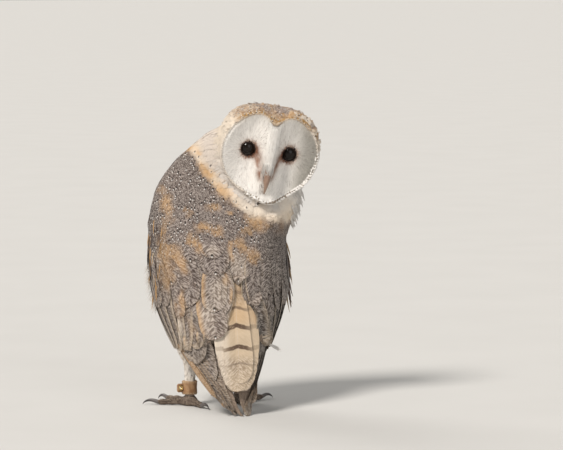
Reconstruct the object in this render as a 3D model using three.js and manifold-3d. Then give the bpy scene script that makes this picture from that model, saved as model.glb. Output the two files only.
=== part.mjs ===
// A barn owl standing upright at rest, its head turned back over its right shoulder.
// Millimetres, +Z up. The bird's body faces -Y, so its left side is +X.
import * as THREE from 'three';
import { mergeVertices } from 'three/addons/utils/BufferGeometryUtils.js';
import Module from 'manifold-3d';

const wasm = await Module();
wasm.setup();

// ---------- driving dimensions ----------

const GAP = 0.4; // clear space between neighbouring pieces
const SLACK = 0.1; // how far a cut surface may move as its slivers are merged

// head, in its own frame: origin midway between the eyes, the face looks along -Y, +Z is its crown
const HEAD_PLACE = new THREE.Vector3(-39.5, 45.3, 265.6);
const HEAD_TWIST = 170.5; // degrees about the body's upright axis, from looking ahead
const HEAD_NOD = 13; // degrees that the face looks down
const HEAD_LEAN = 8.9; // degrees that the crown leans towards the head's own left
const DISC_RADIUS = 49.7; // mean radius of the heart-shaped outline
const DISC_WIDEN = 2.3; // how much wider it is at the sides
const DISC_WIDEST = 97; // degrees from the crown to its widest place
const DISC_NOTCH = 14.7; // depth of the notch at the brow
const NOTCH_SPREAD = 17; // degrees
const DISC_CHIN = 7.5; // how far the point under the bill reaches
const CHIN_SPREAD = 16; // degrees
const CHIN_SWAY = 9; // degrees that this point is pushed towards the head's own left by the neck
const DISC_PLATE = 6; // thickness of the face piece
const DISC_SHARE = 0.9; // the part of the radius that the face piece covers, inside the ruff
const SKULL_SIDE = 50.5;
const SKULL_CROWN = 45.2;
const SKULL_THROAT = 42;
const NAPE_DEPTH = 49; // from the eyes back to the nape

const EYE_SPACING = 43.4;
const EYE_RADIUS = 8.5;
const EYE_SINK = 6; // the eyeball's centre lies this far behind the plane of the eyes

// the neck stands on the trunk at the shoulders
const NECK_BASE = 218;
const NECK_RINGS = [229, 242, 257, 272, 285, 294, 298];

// folded wings: layers of feathers over the body
const WING_THICK = 7.1; // at the side of the shoulder
const WING_LIFT = 1.1; // thickness over the back and the breast
const WING_TOP = 215;
const COVERTS_END = 128;
const SECONDARIES_END = [74, 58]; // at the back edge and at the front edge
const PRIMARIES_TOP = 118;
const PRIMARY_THICK = 3.2;

const TAIL_HALF_THICK = 2;
const TAIL_TIP_HEIGHT = 25;
const TAIL_ROOT_HEIGHT = 146;
const TAIL_X = 2; // its middle, left of the body's
const TAIL_CURVE = 0.006; // how much its sides bend towards the body

const LEG_X = 27;
const LEG_Y = -15;
const FOOT_TURN = 14; // degrees that each foot turns outwards
const FOOT_RADIUS = 9.5;
const FOOT_TOP = 11;
const SHANK_TOP = 47;

const ANKLET = { bottom: 12, top: 26, inner: 6.4, outer: 7.8 };
const ANKLET_TAB = { length: 8, thick: 2.4, height: 9, start: 3 };
const EYELET = { outer: 2.7, hole: 1.4, length: 3.6, start: 3.4 };

// ---------- materials ----------

function finish(color, roughness = 0.9, metalness = 0) {
  return new THREE.MeshStandardMaterial({ color, roughness, metalness });
}

const MATERIALS = {
  white: finish(0xefe8dc),
  cream: finish(0xd9c3a0),
  grey: finish(0x857a72),
  buff: finish(0xb58d57),
  bill: finish(0xd9c0ad, 0.45),
  eye: finish(0x0c0908, 0.05),
  toe: finish(0x8b7b6c, 0.7),
  claw: finish(0x35302d, 0.35),
  leather: finish(0xa8703f, 0.6),
  brass: finish(0xb79a55, 0.3, 1),
};

// ---------- small mathematics ----------

const radians = THREE.MathUtils.degToRad;
const mix = THREE.MathUtils.lerp;
const smooth = (value, low, high) => THREE.MathUtils.smoothstep(value, low, high);
const bump = (value, width) => Math.exp(-((value / width) ** 2));

// A smooth curve through rows of numbers whose first entry is the place along it
function rowsAlong(rows) {
  const count = rows.length;
  const slope = (i, k) => {
    const before = rows[Math.max(i - 1, 0)];
    const after = rows[Math.min(i + 1, count - 1)];
    return (after[k] - before[k]) / (after[0] - before[0]);
  };
  return (place) => {
    let i = 0;
    while (i < count - 2 && place > rows[i + 1][0]) i += 1;
    const [from, to] = [rows[i], rows[i + 1]];
    const span = to[0] - from[0];
    const t = THREE.MathUtils.clamp((place - from[0]) / span, 0, 1);
    const early = (1 + 2 * t) * (1 - t) ** 2;
    return from.slice(1).map((value, j) => {
      const k = j + 1;
      const leave = t * (1 - t) ** 2 * span * slope(i, k);
      const arrive = t * t * (t - 1) * span * slope(i + 1, k);
      return early * value + (1 - early) * to[k] + leave + arrive;
    });
  };
}

// ---------- closed shapes ----------

function signedVolume(position, index) {
  const [a, b, c] = [new THREE.Vector3(), new THREE.Vector3(), new THREE.Vector3()];
  let sum = 0;
  for (let i = 0; i < index.length; i += 3) {
    a.fromArray(position, 3 * index[i]);
    b.fromArray(position, 3 * index[i + 1]);
    c.fromArray(position, 3 * index[i + 2]);
    sum += a.dot(b.cross(c)) / 6;
  }
  return sum;
}

function closedGeometry(points, triangles) {
  const position = points.flatMap((p) => [p.x, p.y, p.z]);
  const out = signedVolume(position, triangles.flat()) > 0;
  const index = triangles.flatMap(([a, b, c]) => (out ? [a, b, c] : [a, c, b]));
  const geometry = new THREE.BufferGeometry();
  geometry.setAttribute('position', new THREE.Float32BufferAttribute(position, 3));
  geometry.setIndex(index);
  return geometry;
}

// A skin over a stack of rings, each of the same number of points, with a fan over each end;
// every four-sided patch is split along its shorter diagonal
function loft(rings) {
  const sides = rings[0].length;
  const points = rings.flat();
  const triangles = [];
  for (let r = 0; r + 1 < rings.length; r += 1) {
    for (let s = 0; s < sides; s += 1) {
      const next = (s + 1) % sides;
      const [a, b] = [r * sides + s, r * sides + next];
      const [c, d] = [a + sides, b + sides];
      if (points[a].distanceTo(points[d]) < points[b].distanceTo(points[c])) {
        triangles.push([a, b, d], [a, d, c]);
      } else {
        triangles.push([a, b, c], [b, d, c]);
      }
    }
  }
  const last = points.length - sides;
  for (const [start, turn] of [[0, 1], [last, 0]]) {
    const middle = points.length;
    const ring = points.slice(start, start + sides);
    points.push(ring.reduce((sum, p) => sum.add(p), new THREE.Vector3()).divideScalar(sides));
    for (let s = 0; s < sides; s += 1) {
      const [a, b] = [start + s, start + (s + 1) % sides];
      triangles.push(turn ? [b, a, middle] : [a, b, middle]);
    }
  }
  return closedGeometry(points, triangles);
}

// A curved slab between an outer and an inner sheet, each a grid of points
function slab(outer, inner) {
  const rows = outer.length;
  const columns = outer[0].length;
  const half = rows * columns;
  const at = (r, c) => r * columns + c;
  const triangles = [];
  const quad = (a, b, c, d) => triangles.push([a, b, c], [a, c, d]);
  for (let r = 0; r + 1 < rows; r += 1) {
    for (let c = 0; c + 1 < columns; c += 1) {
      quad(at(r, c), at(r, c + 1), at(r + 1, c + 1), at(r + 1, c));
      quad(half + at(r + 1, c), half + at(r + 1, c + 1), half + at(r, c + 1), half + at(r, c));
    }
  }
  const edge = (a, b) => quad(b, a, half + a, half + b);
  for (let c = 0; c + 1 < columns; c += 1) {
    edge(at(0, c), at(0, c + 1));
    edge(at(rows - 1, c + 1), at(rows - 1, c));
  }
  for (let r = 0; r + 1 < rows; r += 1) {
    edge(at(r + 1, 0), at(r, 0));
    edge(at(r, columns - 1), at(r + 1, columns - 1));
  }
  return closedGeometry([...outer.flat(), ...inner.flat()], triangles);
}

// A tube along a curve that lies in the upright plane of its own heading, with its own
// half-width and half-height at each step, grown on every side and at both ends
function taperedTube(curve, halves, sides, steps, grow = 0) {
  const rings = [];
  for (let i = 0; i <= steps; i += 1) {
    const t = i / steps;
    const ahead = curve.getTangent(t);
    const beyond = grow * (Number(i === steps) - Number(i === 0));
    const centre = curve.getPoint(t).addScaledVector(ahead, beyond);
    const across = new THREE.Vector3(1, 0, 0);
    const upward = new THREE.Vector3().crossVectors(across, ahead).normalize();
    const [wide, high] = halves(t).map((half) => half + grow);
    rings.push(Array.from({ length: sides }, (_, s) => {
      const turn = (2 * Math.PI * (s + 0.5)) / sides;
      return centre.clone()
        .addScaledVector(across, wide * Math.cos(turn))
        .addScaledVector(upward, high * Math.sin(turn));
    }));
  }
  return loft(rings);
}

const curveThrough = (...points) => new THREE.CatmullRomCurve3(
  points.map(([y, z]) => new THREE.Vector3(0, y, z)),
);

// ---------- cutting ----------

function toSolid(geometry) {
  const plain = geometry.clone();
  plain.deleteAttribute('normal');
  plain.deleteAttribute('uv');
  const merged = mergeVertices(plain, 1e-5);
  return new wasm.Manifold(new wasm.Mesh({
    numProp: 3,
    vertProperties: new Float32Array(merged.attributes.position.array),
    triVerts: new Uint32Array(merged.index.array),
  }));
}

function toGeometry(solid) {
  const mesh = solid.getMesh();
  const geometry = new THREE.BufferGeometry();
  geometry.setAttribute('position', new THREE.BufferAttribute(mesh.vertProperties, 3));
  geometry.setIndex(Array.from(mesh.triVerts));
  return geometry;
}

function cut(geometry, ...tools) {
  const rest = tools.reduce((solid, tool) => solid.subtract(toSolid(tool)), toSolid(geometry));
  const pieces = rest.decompose().sort((one, other) => other.volume() - one.volume());
  return toGeometry(pieces[0].simplify(SLACK));
}

const join = (one, other) => toGeometry(toSolid(one).add(toSolid(other)));

const belowFloor = new THREE.BoxGeometry(600, 600, 60).translate(0, 0, -30);

// ---------- the body's outline ----------

// Level sections of the body with its folded wings: height, centre X, back, breast, half-width
const BODY = rowsAlong([
  [56, 5, 70.5, 0, 43.5],
  [71, 5.5, 70.5, -21, 52.1],
  [93, 2.5, 68.5, -43, 62.5],
  [108, 1.5, 67, -48.5, 68],
  [123, 0.5, 65, -50.5, 71.2],
  [141, 1, 61.5, -51, 73.7],
  [161, 2, 57.5, -51, 73],
  [182, 1.5, 53, -49, 73.3],
  [193, -1.5, 50, -46, 76.4],
  [213, -7.5, 40, -38, 78.6],
  [223.5, -11.5, 36, -35, 80],
  [234, -13.5, 32, -30, 77.5],
  [244, -13, 32, -24, 71],
  [265, -16, 34, -8, 58.5],
  [275, -22, 34, 0, 51.5],
  [285, -27, 32, 8, 45.5],
  [293, -33, 29, 13, 36],
  [298, -38, 26, 15, 22],
]);

// The trunk under the wings, below the shoulders
const BELLY_TOP = 135;
const BELLY = rowsAlong([
  [49, 0, 0, -10, 9],
  [53, 0, 10, -20, 22],
  [62, 0, 22, -28, 33],
  [75, 1, 33, -36, 42],
  [90, 1.5, 42, -42, 50],
  [105, 1.5, 48, -46, 56],
  [120, 1, 53, -48.5, 61],
  [BELLY_TOP, 1, 58.5, -49, 64.8],
]);

// The long flight feathers, down to the wing tips
const FLIGHT = rowsAlong([
  [0, -3, 77, 66, 5.5],
  [8, 0, 76, 61, 10],
  [18, 5, 73, 48, 18.9],
  [36, 4.3, 69.5, 26, 30.7],
  [56, 4.3, 65.5, -1, 41.4],
  [71, 4.9, 63, -22, 48.4],
  [93, 2, 62, -40, 57],
  [125, 1, 61, -47, 66],
]);

// One point of a level section; the angle runs from the back (0) round the left side (90)
function onSection(row, height, angle, inSide = 0, inBack = 0) {
  const [x, back, breast, half] = row;
  const turn = radians(angle);
  return new THREE.Vector3(
    x + (half - inSide) * Math.sin(turn),
    (back + breast) / 2 + ((back - breast) / 2 - inBack) * Math.cos(turn),
    height,
  );
}

function sectionRing(row, height, sides, inSide = 0, inBack = 0) {
  return Array.from({ length: sides }, (_, s) => (
    onSection(row, height, (360 * s) / sides, inSide, inBack)
  ));
}

const TRUNK_SIDES = 28;
const TRUNK_RINGS = [49, 51, 55, 62, 71, 83, 97, 115, 135, 155, 175, 193, 204, 212];

// How far the trunk lies inside the body's outline, under the wings; their facets differ a little
const underWing = (height) => WING_THICK * smooth(NECK_BASE + 4 - height, 0, 20);
const FACET_ROOM = 1.1;

function trunkShape(grow) {
  const rings = TRUNK_RINGS.map((height) => {
    if (height <= BELLY_TOP) return sectionRing(BELLY(height), height, TRUNK_SIDES, -grow, -grow);
    return sectionRing(BODY(height), height, TRUNK_SIDES, underWing(height) + FACET_ROOM - grow,
      WING_LIFT + FACET_ROOM - grow);
  });
  rings.push(sectionRing(BODY(NECK_BASE), NECK_BASE + grow, TRUNK_SIDES,
    underWing(NECK_BASE) - grow, GAP - grow));
  return loft(rings);
}

function neckShape() {
  const rings = [NECK_BASE + GAP, ...NECK_RINGS];
  return loft(rings.map((height) => sectionRing(BODY(height), height, TRUNK_SIDES)));
}

// ---------- head ----------

// The heart-shaped edge of the face, as a radius for each angle from the crown
function discRadius(angle) {
  const turn = Math.abs(((angle + 540) % 360) - 180);
  return DISC_RADIUS + DISC_WIDEN * Math.cos(radians(2 * (turn - DISC_WIDEST)))
    - DISC_NOTCH * bump(turn, NOTCH_SPREAD)
    + DISC_CHIN * bump(((angle + 360) % 360) - 180 + CHIN_SWAY, CHIN_SPREAD);
}

// How far the rim of the disc stands ahead of the eyes
const rimAhead = (angle) => 6 + 3 * bump(((angle + 540) % 360) - 180, 25)
  + 5 * bump(((angle + 360) % 360) - 180, 50);

// How far the ridge from the brow to the bill stands ahead of the eyes, by height
const ridgeAhead = rowsAlong([[-56, 10], [-44, 8], [-30, 11], [-18, 19], [-6, 17.5], [8, 14.5],
  [22, 11], [34, 9]]);

// The hollow dishes around the eyes, with the ridge between them
function faceAhead(share, angle) {
  const radius = share * discRadius(angle);
  const x = radius * Math.sin(radians(angle));
  const z = radius * Math.cos(radians(angle));
  const dish = -2.5 + (rimAhead(angle) + 2.5) * share ** 2.6;
  const ridge = ridgeAhead(THREE.MathUtils.clamp(z, -56, 34))[0];
  return mix(dish, Math.max(ridge, dish), bump(x, 9));
}

function faceRing(share, back, sides) {
  return Array.from({ length: sides }, (_, s) => {
    const angle = (360 * s) / sides;
    const radius = share * discRadius(angle);
    return new THREE.Vector3(
      radius * Math.sin(radians(angle)),
      back - faceAhead(share, angle),
      radius * Math.cos(radians(angle)),
    );
  });
}

// The skull behind the rim: a blunt egg, joined to the rim of the disc
function skullRing(ahead, share, sides, rimPart, grow = 0) {
  return Array.from({ length: sides }, (_, s) => {
    const angle = (360 * s) / sides;
    const turn = radians(angle);
    const [upright, power] = Math.cos(turn) > 0 ? [SKULL_CROWN, 3] : [SKULL_THROAT, 2];
    const egg = (Math.abs(Math.sin(turn) / SKULL_SIDE) ** power
      + Math.abs(Math.cos(turn) / upright) ** power) ** (-1 / power);
    const radius = share * mix(egg, discRadius(angle), rimPart) + grow;
    const y = -ahead - rimPart * rimAhead(angle);
    return new THREE.Vector3(radius * Math.sin(turn), y, radius * Math.cos(turn));
  });
}

const HEAD_SIDES = 32;

function skullBack(grow) {
  return [
    [1, 1, 0.975], [-2, 1, 1], [-5, 0.4, 1], [-13, 0.08, 1], [-23, 0, 0.97],
    [-32, 0, 0.87], [-40, 0, 0.68], [-46, 0, 0.42], [-NAPE_DEPTH, 0, 0.13],
  ].map(([ahead, rimPart, share]) => skullRing(ahead, share, HEAD_SIDES, rimPart, grow));
}

const FACE_SHARES = [0.1, 0.3, 0.5, 0.7, DISC_SHARE];

function headShape() {
  const pocket = FACE_SHARES.map((share) => faceRing(share, DISC_PLATE + GAP, HEAD_SIDES));
  const wall = DISC_SHARE + 0.01;
  return loft([
    ...pocket,
    faceRing(wall, DISC_PLATE + GAP, HEAD_SIDES),
    faceRing(wall + 0.002, 0, HEAD_SIDES),
    ...skullBack(0),
  ]);
}

// The head with its face closed, a little larger, to cut the room for it
function headRoom() {
  const front = [0.06, 0.4, 0.7].map((share) => faceRing(share, -GAP, HEAD_SIDES));
  return loft([...front, ...skullBack(GAP)]);
}

function faceShape() {
  const front = FACE_SHARES.map((share) => faceRing(share, 0, HEAD_SIDES));
  const back = [...FACE_SHARES].reverse().map((share) => faceRing(share, DISC_PLATE, HEAD_SIDES));
  return loft([...front, ...back]);
}

function eyeShape(side, grow = 0) {
  return new THREE.SphereGeometry(EYE_RADIUS + grow, 12, 8)
    .rotateX(Math.PI / 2)
    .translate((side * EYE_SPACING) / 2, EYE_SINK, 0);
}

// The hooked upper half of the bill, from under the ridge to its point
function upperBill(grow = 0) {
  const culmen = curveThrough([-13, -12], [-19.5, -18], [-21.5, -26], [-19.5, -34], [-16.5, -40.5]);
  return taperedTube(culmen, (t) => [
    mix(4.4, 0.7, t ** 1.6),
    mix(4.2, 0.8, t ** 1.4),
  ], 8, 7, grow);
}

function lowerBill(grow = 0) {
  const keel = curveThrough([-7, -22], [-10.5, -27], [-12.8, -31]);
  return taperedTube(keel, (t) => [mix(4, 1.6, t), mix(2, 0.9, t)], 8, 4, grow);
}

// ---------- wings and tail ----------

// A layer of the folded wing, laid on the level sections from its back edge to its front edge
function wingLayer({ side, sections, levels, edges, inward, columns }) {
  const rows = levels(0).length - 1;
  const sheet = (depth) => Array.from({ length: rows + 1 }, (_, r) => (
    Array.from({ length: columns + 1 }, (__, c) => {
      const [down, across] = [r / rows, c / columns];
      const height = levels(across)[r];
      const [back, front] = edges(height);
      const border = Math.min(down, 1 - down, across, 1 - across) > 0 ? 1 : 0.45;
      const [inSide, inBack] = inward(down, height).map((value) => depth * border * value);
      return onSection(sections(height), height, side * mix(back, front, across), inSide, inBack);
    })
  ));
  return slab(sheet(0), sheet(1));
}

const evenly = (from, to, steps) => (
  Array.from({ length: steps + 1 }, (_, i) => mix(from, to, i / steps))
);

// Angles of the back and front edges of the outer layers, by height; the tail shows between
// the two wings, and more of it beside the right one
const WING_EDGES = {
  left: rowsAlong([[57, 24, 88], [72, 21, 95], [80, 13, 99], [105, 11, 110], [128, 4, 118],
    [150, 7, 124], [195, 30, 129], [215, 46, 122]]),
  right: rowsAlong([[57, 30, 88], [72, 27, 95], [80, 24, 99], [105, 22, 110], [128, 4, 118],
    [150, 7, 124], [195, 30, 129], [215, 46, 122]]),
};
const flightEdges = rowsAlong([[0, 4, 62], [20, 5, 74], [37, 8, 80], [57, 20, 88],
  [75, 34, 94], [118, 46, 106]]);

function coverts(side, edges) {
  return wingLayer({
    side,
    edges,
    sections: BODY,
    levels: () => [WING_TOP, ...TRUNK_RINGS.slice(8).reverse(), COVERTS_END + GAP],
    inward: (down, height) => [Math.max(underWing(height), WING_LIFT), WING_LIFT],
    columns: 8,
  });
}

function secondaries(side, edges) {
  return wingLayer({
    side,
    edges,
    sections: BODY,
    levels: (across) => evenly(COVERTS_END, mix(...SECONDARIES_END, across), 6),
    inward: (down) => [mix(4.2, 1.3, down), mix(2.4, 1.2, down)],
    columns: 7,
  });
}

function primaries(side) {
  return wingLayer({
    side,
    sections: FLIGHT,
    levels: () => evenly(PRIMARIES_TOP, 0, 9),
    edges: flightEdges,
    inward: () => [PRIMARY_THICK, PRIMARY_THICK],
    columns: 5,
  });
}

// The tail's centre line and half-width by height
const TAIL = rowsAlong([[TAIL_TIP_HEIGHT, 75.5, 9], [29, 75, 14], [36, 73.8, 17.5],
  [48, 71.8, 20.5], [66, 68.6, 23.5], [88, 64.6, 22.5], [115, 59.6, 19], [TAIL_ROOT_HEIGHT, 52, 14]]);

function tailShape(grow = 0) {
  const heights = [TAIL_TIP_HEIGHT, 28, 33, 40, 52, 68, 86, 104, 124, TAIL_ROOT_HEIGHT];
  const sides = 12;
  return loft(heights.map((height, row) => {
    const [y, half] = TAIL(height);
    const level = row === 0 ? height - grow : height;
    return Array.from({ length: sides }, (_, s) => {
      const turn = (2 * Math.PI * s) / sides;
      const round = Math.sign(Math.sin(turn)) * Math.abs(Math.sin(turn)) ** 0.6;
      const x = (half + grow) * Math.cos(turn);
      const thick = (TAIL_HALF_THICK + grow) * round;
      return new THREE.Vector3(TAIL_X + x, y - TAIL_CURVE * x * x + thick, level);
    });
  }));
}

// ---------- legs and feet ----------

function legShape() {
  return loft([[74, 0, 16, 15], [64, 0, 15.5, 14.5], [57, 0.5, 13.5, 13], [51, 1.5, 10.5, 10.5],
    [SHANK_TOP + GAP, 2, 8, 8.5]].map(([height, back, wide, deep]) => (
    Array.from({ length: 12 }, (_, s) => {
      const turn = (2 * Math.PI * s) / 12;
      return new THREE.Vector3(wide * Math.sin(turn), back + deep * Math.cos(turn), height);
    })
  )));
}

function shankShape() {
  return loft([[SHANK_TOP, 2, 7.6], [40, 1.8, 6.8], [33, 1.2, 6.2], [27, 0.5, 5.8], [20, 0, 5.4],
    [FOOT_TOP + GAP, 0, 5.4]].map(([height, back, radius]) => (
    Array.from({ length: 10 }, (_, s) => {
      const turn = (2 * Math.PI * s) / 10;
      return new THREE.Vector3(radius * Math.sin(turn), back + radius * Math.cos(turn), height);
    })
  )));
}

function footShape(grow = 0) {
  const [radius, top] = [FOOT_RADIUS + grow, FOOT_TOP + grow];
  const profile = [[0, 0], [radius - 2.5, 0], [radius, 3], [radius - 0.4, 6],
    [radius - 3, top - 1.5], [radius - 5, top], [0, top]];
  return new THREE.LatheGeometry(profile.map(([r, h]) => new THREE.Vector2(r, h)), 12)
    .rotateX(Math.PI / 2);
}

// name, heading from straight ahead towards the outer side, length and thickness
const TOES = [
  ['middle', 4, 31, 3.9],
  ['inner', -30, 27, 3.9],
  ['outer', 50, 24, 3.7],
  ['rear', 178, 16, 3.7],
];

function toeShape(length, thick, grow = 0) {
  const start = FOOT_RADIUS - 3.5;
  const reach = FOOT_RADIUS + length;
  const bones = curveThrough(
    [-start, thick - 0.2],
    [-mix(start, reach, 0.4), thick - 0.3],
    [-mix(start, reach, 0.7), 0.85 * thick - 0.4],
    [-reach, 0.75 * thick - 0.5],
  );
  return taperedTube(bones, (t) => {
    const knuckle = 0.35 * Math.cos(5 * Math.PI * t);
    const size = mix(thick, 0.74 * thick, t) + knuckle;
    return [size, size];
  }, 8, 5, grow);
}

function clawShape(length, thick) {
  const start = FOOT_RADIUS + length + 3 * GAP;
  const hook = 4.3 * thick;
  const arch = curveThrough(
    [-start, 0.8 * thick],
    [-start - 0.4 * hook, 1.35 * thick],
    [-start - 0.78 * hook, 1.0 * thick],
    [-start - hook, 0.3],
  );
  return taperedTube(arch, (t) => {
    const size = mix(0.62 * thick, 0.5, t ** 1.2);
    return [0.85 * size, size];
  }, 6, 5);
}

// The leather anklet with a tab at its outer side, and the brass eyelet set in the tab
function ankletShape(side) {
  const { bottom, top, inner, outer } = ANKLET;
  const band = new THREE.LatheGeometry([
    [inner, bottom], [outer, bottom], [outer, top], [inner, top], [inner, bottom],
  ].map(([r, h]) => new THREE.Vector2(r, h)), 14).rotateX(Math.PI / 2);
  const middle = (bottom + top) / 2;
  const tab = new THREE.BoxGeometry(ANKLET_TAB.length, ANKLET_TAB.thick, ANKLET_TAB.height)
    .translate(side * (outer + ANKLET_TAB.start), 0, middle);
  const bore = EYELET.outer + GAP;
  const hole = new THREE.CylinderGeometry(bore, bore, 2 * EYELET.length, 10)
    .translate(side * (outer + EYELET.start), 0, middle);
  return cut(join(band, tab), hole);
}

function eyeletShape(side) {
  const { outer, hole, length } = EYELET;
  const half = length / 2;
  return new THREE.LatheGeometry([
    [hole, -half], [outer, -half], [outer, half], [hole, half], [hole, -half],
  ].map(([r, h]) => new THREE.Vector2(r, h)), 10)
    .translate(side * (ANKLET.outer + EYELET.start), 0, (ANKLET.bottom + ANKLET.top) / 2);
}

// ---------- the owl ----------

const owl = new THREE.Group();

function add(parent, name, geometry, material) {
  const mesh = new THREE.Mesh(geometry, material);
  mesh.name = name;
  parent.add(mesh);
  return mesh;
}

const head = new THREE.Group();
head.position.copy(HEAD_PLACE);
head.rotation.set(radians(HEAD_NOD), radians(HEAD_LEAN), radians(HEAD_TWIST), 'ZXY');
head.updateMatrix();
owl.add(head);

const roomForHead = headRoom().applyMatrix4(head.matrix);
const roomInFace = [eyeShape(1, GAP), eyeShape(-1, GAP), upperBill(GAP), lowerBill(GAP)];

add(head, 'head', cut(headShape(), ...roomInFace), MATERIALS.buff);
add(head, 'face_disc', cut(faceShape(), ...roomInFace), MATERIALS.white);
add(head, 'bill_upper', upperBill(), MATERIALS.bill);
add(head, 'bill_lower', cut(lowerBill(), upperBill(GAP)), MATERIALS.bill);
add(head, 'eye_left', eyeShape(1), MATERIALS.eye);
add(head, 'eye_right', eyeShape(-1), MATERIALS.eye);

const roomForTrunk = trunkShape(GAP);
const roomForTail = tailShape(GAP);
add(owl, 'neck', cut(neckShape(), roomForHead), MATERIALS.cream);
add(owl, 'trunk', cut(trunkShape(0), roomForHead), MATERIALS.white);
add(owl, 'tail', cut(tailShape(), roomForTrunk), MATERIALS.cream);

for (const [name, side] of [['left', 1], ['right', -1]]) {
  const edges = WING_EDGES[name];
  add(owl, `wing_${name}_coverts`, cut(coverts(side, edges), roomForTail), MATERIALS.grey);
  add(owl, `wing_${name}_secondaries`, cut(secondaries(side, edges), roomForTail), MATERIALS.grey);
  add(owl, `wing_${name}_primaries`, cut(primaries(side), roomForTail), MATERIALS.buff);

  const limb = new THREE.Group();
  limb.position.set(side * LEG_X, LEG_Y, 0);
  owl.add(limb);
  const bodyHere = roomForTrunk.clone().translate(-side * LEG_X, -LEG_Y, 0);
  add(limb, `leg_${name}`, cut(legShape(), bodyHere), MATERIALS.white);
  add(limb, `shank_${name}`, shankShape(), MATERIALS.white);

  const foot = new THREE.Group();
  foot.rotation.z = side * radians(FOOT_TURN);
  limb.add(foot);
  add(foot, `foot_${name}`, footShape(), MATERIALS.toe);
  add(foot, `anklet_${name}`, ankletShape(side), MATERIALS.leather);
  add(foot, `eyelet_${name}`, eyeletShape(side), MATERIALS.brass);

  const taken = [footShape(1.5 * GAP)];
  for (const [toe, heading, length, thick] of TOES) {
    const turn = side * radians(heading);
    const shape = toeShape(length, thick).rotateZ(turn);
    add(foot, `toe_${toe}_${name}`, cut(shape, belowFloor, ...taken), MATERIALS.toe);
    taken.push(toeShape(length, thick, GAP).rotateZ(turn));
    const claw = clawShape(length, thick).rotateZ(turn);
    add(foot, `claw_${toe}_${name}`, cut(claw, belowFloor), MATERIALS.claw);
  }
}

// The origin goes to the middle of the underside of the whole bird's box
const box = new THREE.Box3().setFromObject(owl, true);
const middle = box.getCenter(new THREE.Vector3());
owl.position.set(-middle.x, -middle.y, -box.min.z);

export default owl;
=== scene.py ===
"""A still barn owl that stands with folded wings and looks back over its right shoulder.

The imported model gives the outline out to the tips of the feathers. One skin replaces its flesh and
lies inside it by the depth of the coat. The feathers are closed vanes laid on that outline: each
has a shaft that runs over the surface along the lie of the coat, and all of one tract are joined.
Lengths in this script are millimetres and angles are degrees, until a mesh is made in metres.
"""

import math

import bpy
import numpy as np
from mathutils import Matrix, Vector
from mathutils.bvhtree import BVHTree


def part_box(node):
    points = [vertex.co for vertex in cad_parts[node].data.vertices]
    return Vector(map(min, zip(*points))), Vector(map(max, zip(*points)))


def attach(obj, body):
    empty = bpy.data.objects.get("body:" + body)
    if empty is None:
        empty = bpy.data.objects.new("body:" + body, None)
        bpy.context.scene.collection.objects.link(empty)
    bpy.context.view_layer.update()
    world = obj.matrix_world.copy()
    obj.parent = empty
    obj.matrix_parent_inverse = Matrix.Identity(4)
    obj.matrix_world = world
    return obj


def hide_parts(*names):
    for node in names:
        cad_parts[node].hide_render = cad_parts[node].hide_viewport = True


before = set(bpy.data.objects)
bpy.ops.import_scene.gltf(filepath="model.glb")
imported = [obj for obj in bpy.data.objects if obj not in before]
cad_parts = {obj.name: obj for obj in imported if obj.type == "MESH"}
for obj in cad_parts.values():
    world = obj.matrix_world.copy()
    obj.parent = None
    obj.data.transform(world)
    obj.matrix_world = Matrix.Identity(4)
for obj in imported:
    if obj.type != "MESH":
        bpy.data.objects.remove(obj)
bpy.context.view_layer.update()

MM = 0.001
rng = np.random.default_rng(11)

# ---------- the bird's own frame: the floor under its upright axis, its left side +X ----------

FEET_AHEAD = 15  # the feet stand this far ahead of the upright axis
HEAD_TWIST = 170.5
HEAD_NOD = 13
HEAD_LEAN = 8.9
EYE_SINK = 6  # the eyeball's centre lies this far behind the plane of the eyes

VIEW_AZIMUTH = 161
VIEW_ELEVATION = 5
VIEW_DISTANCE = 3000
VIEW_SCALE = 1.03  # millimetres for each pixel of the render, at the bird
VIEW_SIDE = 64.9  # where the optical axis passes the upright axis
VIEW_HEIGHT = 188.2
IMAGE_WIDTH = 563
SENSOR = 36


def box_centre(node):
    low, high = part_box(node)
    return np.array((low + high) / 2)


feet = (box_centre("foot_left") + box_centre("foot_right")) / 2
ORIGIN = np.array([feet[0], feet[1] + FEET_AHEAD * MM, 0])


def to_metres(points):
    return ORIGIN + np.asarray(points) * MM


def from_metres(points):
    return (np.asarray(points) - ORIGIN) / MM


def turn_about(axis, degrees):
    c, s = math.cos(math.radians(degrees)), math.sin(math.radians(degrees))
    i, j = [(1, 2), (2, 0), (0, 1)][axis]
    matrix = np.eye(3)
    matrix[i, i] = matrix[j, j] = c
    matrix[i, j], matrix[j, i] = -s, s
    return matrix


HEAD_TURN = turn_about(2, HEAD_TWIST) @ turn_about(0, HEAD_NOD) @ turn_about(1, HEAD_LEAN)
EYES = {side: from_metres(box_centre(f"eye_{side}")) for side in ("left", "right")}
HEAD_PLACE = (EYES["left"] + EYES["right"]) / 2 - HEAD_TURN @ np.array([0, EYE_SINK, 0])


def to_head(points):
    return (points - HEAD_PLACE) @ HEAD_TURN


def from_head(points):
    return points @ HEAD_TURN.T + HEAD_PLACE


# ---------- small mathematics on arrays ----------


def unit(vectors):
    return vectors / np.maximum(np.linalg.norm(vectors, axis=-1, keepdims=True), 1e-9)


def dot(a, b):
    return (a * b).sum(-1, keepdims=True)


def smooth(value, low, high):
    t = np.clip((value - low) / (high - low), 0, 1)
    return t * t * (3 - 2 * t)


def bump(value, width):
    return np.exp(-((value / width) ** 2))


def mix(a, b, share):
    return a + (b - a) * share


def between(rows, place):
    """Numbers read from rows of (place, number), joined by straight lines."""
    places, values = np.array(rows, float).T
    return np.interp(place, places, values)


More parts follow.
